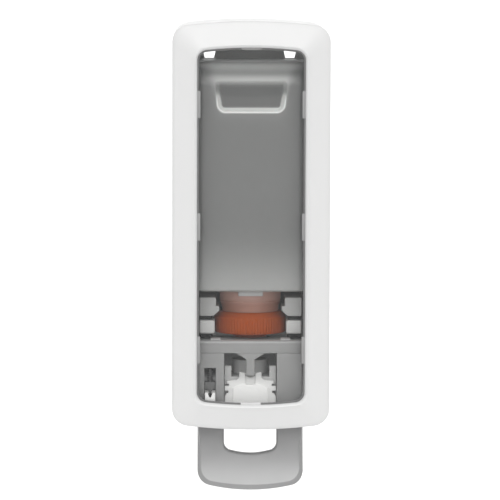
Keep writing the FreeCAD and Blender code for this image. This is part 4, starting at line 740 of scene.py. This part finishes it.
# ---- Bottle -------------------------------------------------------------------------
def bottle_plan(half_wide, back, front, corner, columns):
    """The bottle's plan: a rounded rectangle, with most of its points on the front face."""
    corner = min(corner, half_wide * 0.999, (front - back) / 2 * 0.999)
    half_run = half_wide - corner
    front_run = np.linspace(-half_run, half_run, columns)
    face = np.stack((front_run, np.full(columns, -front)), axis=-1)
    right = arc((half_run, -front + corner), corner, -90, 0, 14)[1:]
    rear_right = arc((half_run, -back - corner), corner, 0, 90, 14)
    rear = np.stack((np.linspace(half_run, -half_run, 24)[1:-1], np.full(22, -back)), axis=-1)
    rear_left = arc((-half_run, -back - corner), corner, 90, 180, 14)
    left = arc((-half_run, -front + corner), corner, 180, 270, 14)[:-1]
    return np.concatenate((face, right, rear_right, rear, rear_left, left))


def smooth_step(value, start, end):
    """0 before start, 1 after end and a smooth S between."""
    share = np.clip((value - start) / (end - start), 0, 1)
    return share * share * (3 - 2 * share)


def rounded_inside(first, second, radius):
    """Distance inside a corner of two edges whose meeting is rounded by the radius."""
    round_part = radius - np.hypot(np.maximum(radius - first, 0), np.maximum(radius - second, 0))
    return np.where((first < radius) & (second < radius), round_part, np.minimum(first, second))


def recess_reach(x, z, top):
    """Distances inside the grip recess: from its round-cornered outline, and from its top edge."""
    foot_z, top_z = top - 34.6 * MM, top - 13 * MM
    share = np.clip((z - foot_z) / (top_z - foot_z), 0, 1)
    beside = (22.4 + 2.9 * share) * MM - np.abs(x)
    above, below = top_z - z, z - foot_z
    near_foot = rounded_inside(beside, below, 4.5 * MM)
    near_top = rounded_inside(beside, above, 3 * MM)
    return near_foot, np.minimum(near_foot, near_top), above


def recess_depth(settings, x, z, top):
    """How far the grip recess goes in at each point of the bottle's front.

    Formula in words: distances inside the trapezoid's edges are joined with round corners; the
    depth grows slowly down from the top edge, and rises back steeply at the sides and the foot,
    where a low rounded lip stands out.
    """
    near_foot, inside, above = recess_reach(x, z, top)
    steep = smooth_step(inside, -0.5 * MM, 2.8 * MM)
    ramp = 0.25 + 0.75 * smooth_step(above, -1 * MM, 12 * MM)
    lip = np.exp(-((near_foot + 0.7 * MM) / (1.1 * MM)) ** 2) * smooth_step(above, 4 * MM, 12 * MM)
    return settings.recess * steep * ramp - 0.45 * MM * lip


def paint_light_and_shade(piece, top):
    """Writes the bottle's painted light and shade: painted shade inside the recess and towards the
    sides, and painted highlights on its lip, round the recess and on the sloping top.
    """
    points = np.empty(len(piece.data.vertices) * 3)
    piece.data.vertices.foreach_get("co", points)
    x, y, z = points.reshape(-1, 3).T
    near_foot, inside, above = recess_reach(x, z, top)
    on_front = smooth_step(-y, 74 * MM, 78 * MM)
    # Painted shade on the recess's floor and towards the sides; painted light on the lip, round the
    # recess and on the sloping top.
    floor = smooth_step(inside, 1.5 * MM, 4.5 * MM) * smooth_step(above, 0, 6 * MM)
    rim = np.exp(-((near_foot - 0.9 * MM) / (1.3 * MM)) ** 2) * smooth_step(above, 6 * MM, 17 * MM)
    slope = np.exp(-((z - top + 10.5 * MM) / (4.5 * MM)) ** 2)
    beside = 0.12 * smooth_step(np.abs(x), 24 * MM, 38 * MM)
    slope += 2.7 * smooth_step(z, top - 9 * MM, top - 1 * MM)
    painted_glow = 0.13 * np.exp(np.minimum(inside, 0) / (5 * MM)) * (1 - floor)
    change = 0.86 * rim + painted_glow - 0.28 * floor + 0.12 * slope * (1 - floor) - beside
    layer = piece.data.attributes.new("painted_light_and_shade", "FLOAT", "POINT")
    layer.data.foreach_set("value", np.clip(0.5 + on_front * change, 0, 1))


def bottle_surface(settings):
    """The bottle's body with its tilted top and grip recess, its neck and its mouth.

    Formula in words: each level is a rounded rectangle whose inset and front depend on the
    height; front points move back by the recess's depth times two smooth steps of the distance
    inside a trapezoid. Below the base the levels turn into circles about the pump's axis.
    """
    half_wide = BOTTLE_HIGH[0]
    back, front = -BOTTLE_HIGH[1], -BOTTLE_LOW[1]
    foot, top = BASE_Z, BOTTLE_HIGH[2]
    shoulder, base_edge = settings.shoulder, settings.base_edge
    levels = np.unique(np.concatenate((
        foot + base_edge * (1 - np.cos(np.linspace(0, math.pi / 2, 7))),
        np.linspace(foot + base_edge, top - 37 * MM, 60),
        np.linspace(top - 37 * MM, top - shoulder, 110),
        top - shoulder + shoulder * np.sin(np.linspace(0, math.pi / 2, 9)),
    )))
    rows = []
    columns = 170
    for level in levels:
        lower = np.clip((foot + base_edge - level) / base_edge, 0, 1)
        upper = np.clip((level - top + shoulder) / shoulder, 0, 1)
        inset = base_edge * (1 - math.sqrt(max(0, 1 - lower ** 2)))
        inset += shoulder * (1 - math.sqrt(max(0, 1 - upper ** 2)))
        tilt = 9 * MM * smooth_step(level, top - 17 * MM, top + 6 * MM)
        plan = bottle_plan(
            half_wide - inset, back + inset, front - inset - tilt, settings.corner, columns
        )
        rows.append(np.column_stack((plan, np.full(len(plan), level))))
    grid = np.stack(rows)
    grid[:, :columns, 1] += recess_depth(settings, grid[:, :columns, 0], grid[:, :columns, 2], top)
    angles = np.arctan2(grid[0, :, 1] + PUMP_FRONT, grid[0, :, 0])
    circle = np.stack((np.cos(angles), np.sin(angles)), axis=-1)
    neck = 23.5 * MM

    def neck_ring(wider, below):
        ring = np.column_stack((circle * (neck + wider * MM), np.zeros(len(circle))))
        return ring + (0, -PUMP_FRONT, foot - below * MM)

    neck_rows = []
    for share in np.linspace(0.25, 1, 6):
        neck_rows.append(grid[0] * (1 - share) + neck_ring(1, 0) * share)
        neck_rows[-1][:, 2] = foot
    # Steps of the neck: millimetres outside its radius, and below the base.
    steps = ((0.3, 0.3), (0, 1), (0, 7.7), (-0.5, 8), (-0.5, 8.5), (-0.2, 8.8), (-0.6, 9.8),
             (-1.5, 11.4), (-1.7, 13), (-2, 16), (-3.5, 16), (-3.5, 27.3), (-7.5, 27.3), (-7.5, -2))
    neck_rows += [neck_ring(wider, below) for wider, below in steps]
    rows = np.concatenate((np.stack(neck_rows)[::-1], grid))
    count = rows.shape[1]
    total = rows.shape[0]
    loops = (range(count), range(count * (total - 1), count * total))
    return rows.reshape(-1, 3), grid_faces(total, count), loops


def base_lug():
    """The small lug under the bottle's front edge."""
    foot = BASE_Z / MM
    outline = rectangle(-8.6, 8.6, foot - 3.6, foot + 0.6, 0.5)
    front = -BOTTLE_LOW[1]
    return slab(outline, front - 12 * MM, front - 4.5 * MM, 0.4 * MM, upright, 3)


def cap_ring(settings):
    """The cap: a turned profile whose skirt is grooved between its ribs.

    Formula in words: radius = profile - depth * (1 - |cos(n t / 2)|) on the skirt only.
    """
    top, skirt_foot = CAP_HIGH[2], CAP_LOW[2] + 3 * MM
    radius = CAP_HIGH[0]
    levels = np.linspace(skirt_foot + 1.2 * MM, top - 4.6 * MM, 5)
    profile = [(20.2 * MM, top), (radius - 4.2 * MM, top), (radius - 3.6 * MM, top - 0.3 * MM),
               (radius - 0.35 * MM, top - 3.5 * MM), (radius, top - 4 * MM)]
    profile += [(radius, level) for level in levels[::-1]]
    profile += [(radius - 0.3 * MM, skirt_foot + 0.3 * MM), (radius - 0.9 * MM, skirt_foot)]
    hub_foot = CAP_LOW[2] - 2.4 * MM
    profile += [(12.2 * MM, skirt_foot), (11.8 * MM, skirt_foot - 0.4 * MM)]
    profile += [(11.8 * MM, hub_foot + 0.4 * MM), (11.4 * MM, hub_foot), (9.6 * MM, hub_foot)]
    profile += [(9.6 * MM, skirt_foot + 2.2 * MM), (20.2 * MM, skirt_foot + 2.2 * MM)]

    def grooved(base, height, angle):
        on_skirt = (base > radius - 0.5 * MM) & (height < top - 3.8 * MM)
        groove = settings.rib_deep * (1 - np.abs(np.cos(settings.ribs / 2 * angle)))
        return base - groove * on_skirt

    return turned(profile, settings.ribs * 6, (0, -PUMP_FRONT), grooved)


class DISPENSER_OT_refill(bpy.types.Operator):
    """Makes the bottle and its cap"""

    bl_idname = "dispenser.refill"
    bl_label = "Refill"

    def execute(self, context):
        settings = context.scene.dispenser_bottle
        surface, cap = [bottle_surface(settings)], [cap_ring(settings)]
        bottle = new_piece(
            "bottle", surface, "bottle", "wall_unit", ["refill_bottle"], 60
        )
        paint_light_and_shade(bottle, BOTTLE_HIGH[2])
        new_piece("bottle_base_lug", [base_lug()], "fork", "wall_unit")
        new_piece("ribbed_cap", cap, "orange", "wall_unit", ["cap_collar"])
        return {"FINISHED"}


# ---- Lever --------------------------------------------------------------------------
def lever_front(height):
    """Distance from the wall of the lever's front face: straight above, then a forward sweep.

    Formula in words: a circle of the sweep's radius whose centre stands in front of the lever.
    """
    sweep = 59.4 * MM
    start = LEVER_LOW[2] + 41.8 * MM
    arm_front = 82.5 * MM
    drop = np.clip(start - height, 0, sweep * 0.95)
    return arm_front + sweep - np.sqrt(sweep ** 2 - drop ** 2)


def lever_paths():
    """The lever's outer and inner edges in the front view, point for point."""
    half, top, foot = LEVER_HIGH[0], -140.7 * MM, LEVER_LOW[2]
    corner, crown = 10 * MM, 4.8 * MM
    radius = (half ** 2 + crown ** 2) / (2 * crown)
    arch_z = foot + radius
    corner_x = half - corner
    corner_z = arch_z - math.sqrt((radius - corner) ** 2 - corner_x ** 2)
    join = math.degrees(math.atan2(corner_z - arch_z, corner_x))
    right = np.concatenate((
        np.linspace((half, top), (half, corner_z), 26)[:-1],
        arc((corner_x, corner_z), corner, 0, join, 14),
        arc((0, arch_z), radius, join, -90, 22)[1:],
    ))
    hole_half, hole_foot, hole_corner, sag = 18.4 * MM, foot + 24.1 * MM, 6 * MM, 1.6 * MM
    inner_z = hole_foot + hole_corner + sag
    bend = arc((hole_half - hole_corner, inner_z), hole_corner, 0, -84, 14)
    rest = np.linspace(bend[-1], (0, hole_foot), 22)[1:]
    share = rest[:, 0] / bend[-1, 0]
    rest[:, 1] = hole_foot + (bend[-1, 1] - hole_foot) * share ** 2
    straight = np.linspace((hole_half, top), (hole_half, inner_z), 26)[:-1]
    inner = np.concatenate((straight, bend, rest))
    both = [np.concatenate((path, path[-2::-1] * (-1, 1))) for path in (right, inner)]
    return both[0], both[1]


# The rim's steps: shares of its width from the outer edge, and of its depth.
RIM_STEPS = ((0, 1.12), (0.03, 1.03), (0.1, 0.95), (0.9, 0.12), (0.97, 0.04), (1.1, 0))


def lever_plate():
    """The lever's visible plate, swept forward at the foot.

    Formula in words: at each place along the U, the section runs from the outer edge to the
    inner edge on the front face and back on the rear face, with a quarter round of radius r at
    its corners and a flat rim in front of the outer edge, which is widest at the foot; the
    front face's distance from the wall depends on the height.
    """
    outer, inner = lever_paths()
    across = inner - outer
    wide = np.linalg.norm(across, axis=1, keepdims=True)
    across = across / wide
    thick, rounding = 7.25 * MM, 1.9 * MM
    angle = np.radians(np.linspace(0, 90, 7))
    inset, deep = rounding * (1 - np.cos(angle)), rounding * (1 - np.sin(angle))
    face = np.linspace(0, 1, 12)[1:-1]
    rim = 0.9 * MM + 2.5 * MM * smooth_step(across[:, 1:], 0.1, 0.75)
    rim_deep = 3.4 * MM
    section = [(0, rim * share, 0, rim_deep * deep_share) for share, deep_share in RIM_STEPS]
    section += [(share, rim * RIM_STEPS[-1][0], rounding, 0) for share in face]
    section += [(1, 0, edge, depth) for edge, depth in zip(inset[::-1], deep[::-1])]
    section += [(1, 0, edge, thick - depth) for edge, depth in zip(inset, deep)]
    section += [(share, rounding, rounding, thick) for share in face[::-1]]
    section += [(0, edge, 0, thick - depth) for edge, depth in zip(inset[::-1], deep[::-1])]
    rows = []
    for share, from_outer, from_inner, depth in section:
        start, end = outer + across * from_outer, inner - across * from_inner
        point = start + (end - start) * share
        rows.append(np.column_stack((point[:, 0], -lever_front(point[:, 1]) + depth, point[:, 1])))
    count = len(outer)
    total = count * len(rows)
    loops = (range(0, total, count), range(count - 1, total, count))
    faces = grid_faces(len(rows), count, wrap_rows=True, wrap_columns=False)
    return np.concatenate(rows), faces, loops


class DISPENSER_OT_lever(bpy.types.Operator):
    """Makes the push lever's plate and arms"""

    bl_idname = "dispenser.lever"
    bl_label = "Push lever"

    def execute(self, context):
        sheet = [lever_plate()]
        plate = new_piece("lever_plate", sheet, "lever", "lever", ["push_lever"], 30)
        # The rim's faces get the plainer finish, which paints shade next to the painted light on the
        # face.
        plate.data.materials.append(materials["lever_rim"])
        rim_faces = (len(RIM_STEPS) - 1) * (len(lever_paths()[0]) - 1)
        on_shaded_rim = np.arange(len(plate.data.polygons)) < rim_faces
        plate.data.polygons.foreach_set("material_index", on_shaded_rim.astype(np.int32))
        above = ((0, 0, -141.2 * MM), (0, 0, 1))
        softened_copy("push_lever", "lever_arms", 0.4, "lever", "lever", above)
        return {"FINISHED"}


# ---- Housing and mechanism ----------------------------------------------------------
SOFTENED = (
    ("back_plate", "wall_plate", 0.4, "white", "wall_unit", "white_plastic"),
    ("pump_housing", "housing_block", 0.5, "grey", "wall_unit", "grey_plastic"),
    ("housing_pillar_left", "pillar_left", 0.5, "grey", "wall_unit", "grey_plastic"),
    ("housing_pillar_right", "pillar_right", 0.5, "grey", "wall_unit", "grey_plastic"),
    ("actuator_disc", "disc", 0.6, "disc", "carriage", "dark_plastic"),
)

# Nodes whose front is made anew: the copy keeps what is beyond a plane (point, direction).
NECK_PLANE = ((0, -58.2 * MM, 0), (0, 1, 0))
CUT = (
    ("neck_fork", "fork_rear", 0.5, "fork", "wall_unit", "grey_plastic", NECK_PLANE),
    ("cap_cradle", "cradle_rear", 0.5, "pale", "wall_unit", "white_plastic", NECK_PLANE),
    ("pump_carriage", "carriage_deck", 0.4, "deck", "carriage", "white_plastic",
     ((0, -83.5 * MM, 0), (0, 1, 0))),
    ("latch_bolt", "bolt_stem", 0.1, "bolt", "latch", "grey_plastic",
     ((0, 0, -110.6 * MM), (0, 0, 1))),
)

PLAIN = (
    ("hinge_pin_left", "steel"), ("hinge_pin_right", "steel"),
    ("lever_pin_left", "steel"), ("lever_pin_right", "steel"),
    ("drive_pin_left", "steel"), ("drive_pin_right", "steel"),
    ("housing_screws", "steel"), ("latch_spring", "black_spring"), ("pump_spring", "spring"),
    ("lever_bushing_left", "natural"), ("lever_bushing_right", "natural"),
    ("pump_stem", "natural"), ("pump_cylinder", "natural"),
    ("cap_gasket", "seal"), ("piston_seal", "seal"),
    ("inlet_valve", "soft"), ("outlet_valve", "soft"),
)


def mirrored(part):
    """The same part on the other side of the middle plane."""
    points, faces, loops = part
    return points * (-1, 1, 1), faces, loops


def along_x(points, across):
    """Points of a side view (distance from the wall, height) at a sideways place."""
    return np.stack((np.full(len(points), across), -points[:, 0], points[:, 1]), axis=-1)


def fork_arms():
    """The fork's two front arms, with the lip that holds the neck and a slope over the cap."""
    arm = [(24.1, -51.3), (36, -51.3), (36, -64.4), (26.1, -64.4), (21.9, -60.6), (21.9, -57.5),
           (24.1, -57.5)]
    outline = rounded_polygon(np.array(arm) * MM, np.array([1, 0.8, 1.2, 0.6, 0.6, 0.6, 0.4]) * MM)
    part = slab(outline, 57.5 * MM, 84 * MM, 0.5 * MM)
    return [part, mirrored(part)]


def cradle_arms():
    """The cradle's two front walls, and the feet that they stand on, which are set back."""
    front = slab(rectangle(25, 36, -77, -67.5, 1.5, 8), 68 * MM, 84 * MM, 1.4 * MM, upright, 7)
    back = slab(rectangle(26.3, 35.8, -81.1, -76, 0.4), 57.5 * MM, 74 * MM, 0.3 * MM)
    return [front, mirrored(front)], [back, mirrored(back)]


def slot_shadow_blocks():
    """Near-black blocks in the slots between the fork and the cradle: painted shadow."""
    slot_shadow = slab(rectangle(26.5, 35.8, -67.8, -64, 0.3), 57.5 * MM, 79 * MM, 0.25 * MM)
    return [slot_shadow, mirrored(slot_shadow)]


def shelf_front():
    """The shelf's rounded front bar and the two clips on it."""
    side = np.array([(84, -90), (90.4, -90), (90.4, -81.1), (84, -81.1)]) * MM
    outline = rounded_polygon(side, np.array([0.3, 0.5, 1.9, 0.3]) * MM, 9)
    bar = slab(outline, -36 * MM, 36 * MM, 0.25 * MM, along_x)
    clip = slab(rectangle(21, 28, -81.3, -80.2, 0.4), 76 * MM, 86 * MM, 0.3 * MM)
    return [bar, clip, mirrored(clip)]


def carriage_front():
    """The carriage's crowned apron, grooved for the guide post, and the arched panel on it."""
    right = [(3.6, -104.3), (7.8, -103.6), (7.8, -107.4), (9.6, -109.2), (16.3, -109.9),
             (16.3, -111.8), (15, -111.8), (15, -113.6), (17.9, -113.6), (17.9, -116.8),
             (15.4, -116.8), (15.4, -118.7), (16.6, -118.7), (17.9, -121), (17.9, -130.7)]
    left = [(-x, z) for x, z in right[::-1]]
    notch = [(-3.6, -106.4), (0, -107.6), (3.6, -106.4)]
    groove = [(-3.3, -112.4), (3.3, -112.4)]
    rear = rounded_polygon(np.array(left + notch + right) * MM, 0.35 * MM, 4)
    front = rounded_polygon(np.array(left + groove + right) * MM, 0.3 * MM, 4)
    apron = [slab(rear, 83.1 * MM, 85.2 * MM, 0.3 * MM), slab(front, 84.8 * MM, 87 * MM, 0.25 * MM)]
    rise = arc((0, -133.4), 22.4, 57, 81.5, 9)
    foot = [(-12.3, -130.4), (12.3, -130.4)]
    arch = np.concatenate((rise, groove[::-1], rise[::-1] * (-1, 1), foot))
    panel = slab(rounded_polygon(arch * MM, 0.3 * MM, 4), 86.5 * MM, 87.9 * MM, 0.25 * MM)
    return apron, panel


def bolt_nose():
    """The latch bolt's block, which ends in a V."""
    low_x, high_x = low("latch_bolt")[0], high("latch_bolt")[0]
    middle = (low_x + high_x) / 2
    top, shoulder, point, half_point = -110.4 * MM, -115.6 * MM, -119.4 * MM, 1.7 * MM
    slope = shoulder - 0.3 * MM
    nose = [(low_x, top), (low_x, shoulder), (middle - half_point, slope), (middle, point),
            (middle + half_point, slope), (high_x, shoulder), (high_x, top)]
    return slab(rounded_polygon(nose, 0.3 * MM, 4), 84.3 * MM, 88.3 * MM, 0.25 * MM)


class DISPENSER_OT_mechanism(bpy.types.Operator):
    """Finishes the back plate, the housing and the moving parts inside"""

    bl_idname = "dispenser.mechanism"
    bl_label = "Housing and mechanism"

    def execute(self, context):
        for node, name, width, finish, body, slot in SOFTENED:
            piece = softened_copy(node, name, width, finish, body)
            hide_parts(node)
        for node, name, width, finish, body, slot, kept in CUT:
            softened_copy(node, name, width, finish, body, kept)
        walls, feet = cradle_arms()
        apron, panel = carriage_front()
        nose = [bolt_nose()]
        new_piece("fork_arms", fork_arms(), "fork", "wall_unit", ["neck_fork"])
        # Painted shadow: the cradle's feet and the slot blocks are near black, in place of shadow.
        new_piece("cradle_feet", feet + slot_shadow_blocks(), "slot_shadow", "wall_unit")
        new_piece("cradle_arms", walls, "pale", "wall_unit", ["cap_cradle"])
        new_piece("shelf_front", shelf_front(), "bar", "wall_unit")
        new_piece("carriage_apron", apron, "apron", "carriage", ["pump_carriage"])
        new_piece("carriage_panel", [panel], "carriage", "carriage")
        new_piece("bolt_nose", nose, "bolt", "latch", ["latch_bolt"])
        for node, finish in PLAIN:
            assign(node, finish)
        return {"FINISHED"}


# ---- Stage --------------------------------------------------------------------------
def aim(thing, target):
    """Turns a light or camera, which looks along its own -Z, towards a point."""
    direction = Vector(target) - thing.location
    thing.rotation_euler = direction.to_track_quat("-Z", "Y").to_euler()


def toward(azimuth, elevation):
    """The unit vector towards a direction in degrees, 0 being straight in front."""
    turn, rise = math.radians(azimuth), math.radians(elevation)
    level = math.cos(rise)
    return np.array((math.sin(turn) * level, -math.cos(turn) * level, math.sin(rise)))


def add_sun(name, azimuth, elevation, spread, strength):
    """A soft distant light from a direction given in degrees, 0 being straight in front."""
    data = bpy.data.lights.new(name, "SUN")
    data.energy = strength
    data.angle = math.radians(spread)
    light = bpy.data.objects.new(name, data)
    light.location = toward(azimuth, elevation) * 2
    bpy.context.scene.collection.objects.link(light)
    aim(light, (0, 0, 0))
    return light


def add_camera():
    """The camera: a long lens a little above and to the left of the middle."""
    distance = 2.4
    target = np.array((-0.0007, -0.100, -0.0164))
    data = bpy.data.cameras.new("camera")
    data.lens, data.sensor_width = 248.3, 36
    data.clip_end = 50
    camera = bpy.data.objects.new("camera", data)
    camera.location = target + toward(-0.8, 5.2) * distance
    bpy.context.scene.collection.objects.link(camera)
    aim(camera, target)
    camera.rotation_euler.rotate_axis("Z", math.radians(0.16))
    bpy.context.scene.camera = camera


def add_floor():
    """A pale floor that curves up into a backdrop."""
    run = np.concatenate(([(-6, -0.55)], arc((3.0, 0.95), 1.5, -90, 0, 32), [(4.5, 5.0)]))
    across = np.array((-7.0, 7.0))
    rows = [np.column_stack((np.full(len(run), x), run)) for x in across]
    points = np.stack(rows, axis=1).reshape(-1, 3)
    mesh = bpy.data.meshes.new("floor")
    faces = grid_faces(len(run), 2, wrap_columns=False)[:, ::-1]
    mesh.from_pydata(points.tolist(), [], faces.tolist())
    mesh.polygons.foreach_set("use_smooth", np.ones(len(mesh.polygons), dtype=bool))
    floor = bpy.data.objects.new("floor", mesh)
    nodes = Nodes("pale_floor")
    nodes.paint(nodes.blend(nodes.noise(3, 2), (0.98, 0.98, 0.98), (0.99, 0.99, 0.99)))
    nodes.shader.inputs["Roughness"].default_value = 0.9
    mesh.materials.append(nodes.material)
    bpy.context.scene.collection.objects.link(floor)


class DISPENSER_OT_stage(bpy.types.Operator):
    """Makes the floor, the lights, the sky and the camera"""

    bl_idname = "dispenser.stage"
    bl_label = "Stage"

    def execute(self, context):
        scene = context.scene
        add_floor()
        world = bpy.data.worlds.new("soft_sky")
        world.use_nodes = True
        sky = world.node_tree.nodes["Background"]
        sky.inputs["Color"].default_value = (1, 1, 1, 1)
        sky.inputs["Strength"].default_value = 0.65
        scene.world = world
        add_sun("key_light", 0, 46, 55, 1.7)
        add_sun("front_light", 0, 8, 40, 0.5)
        add_camera()
        scene.view_settings.view_transform = "Standard"
        return {"FINISHED"}


# ---- Panel and registration ---------------------------------------------------------
STEPS = (
    DISPENSER_OT_cover,
    DISPENSER_OT_refill,
    DISPENSER_OT_lever,
    DISPENSER_OT_mechanism,
    DISPENSER_OT_stage,
)
GROUPS = (
    ("dispenser_cover", DispenserCoverSettings),
    ("dispenser_bottle", DispenserBottleSettings),
    ("dispenser_colours", DispenserColourSettings),
)


class DISPENSER_PT_panel(bpy.types.Panel):
    """Lists the steps and their settings"""

    bl_idname = "DISPENSER_PT_panel"
    bl_label = "Soap dispenser"
    bl_space_type = "VIEW_3D"
    bl_region_type = "UI"
    bl_category = "Dispenser"

    def draw(self, context):
        for name, group in GROUPS:
            for key in group.__annotations__:
                self.layout.prop(getattr(context.scene, name), key)
        for step in STEPS:
            self.layout.operator(step.bl_idname)


CLASSES = (*(group for _, group in GROUPS), *STEPS, DISPENSER_PT_panel)


def register():
    """Registers the classes and their settings."""
    for item in CLASSES:
        bpy.utils.register_class(item)
    for name, group in GROUPS:
        setattr(bpy.types.Scene, name, PointerProperty(type=group))


def unregister():
    """Removes the settings and the classes."""
    for name, _ in GROUPS:
        delattr(bpy.types.Scene, name)
    for item in reversed(CLASSES):
        bpy.utils.unregister_class(item)


def main():
    """Makes every piece."""
    register()
    make_materials(bpy.context.scene.dispenser_colours)
    bpy.ops.dispenser.cover()
    bpy.ops.dispenser.refill()
    bpy.ops.dispenser.lever()
    bpy.ops.dispenser.mechanism()
    bpy.ops.dispenser.stage()


if __name__ == "__main__":
    main()
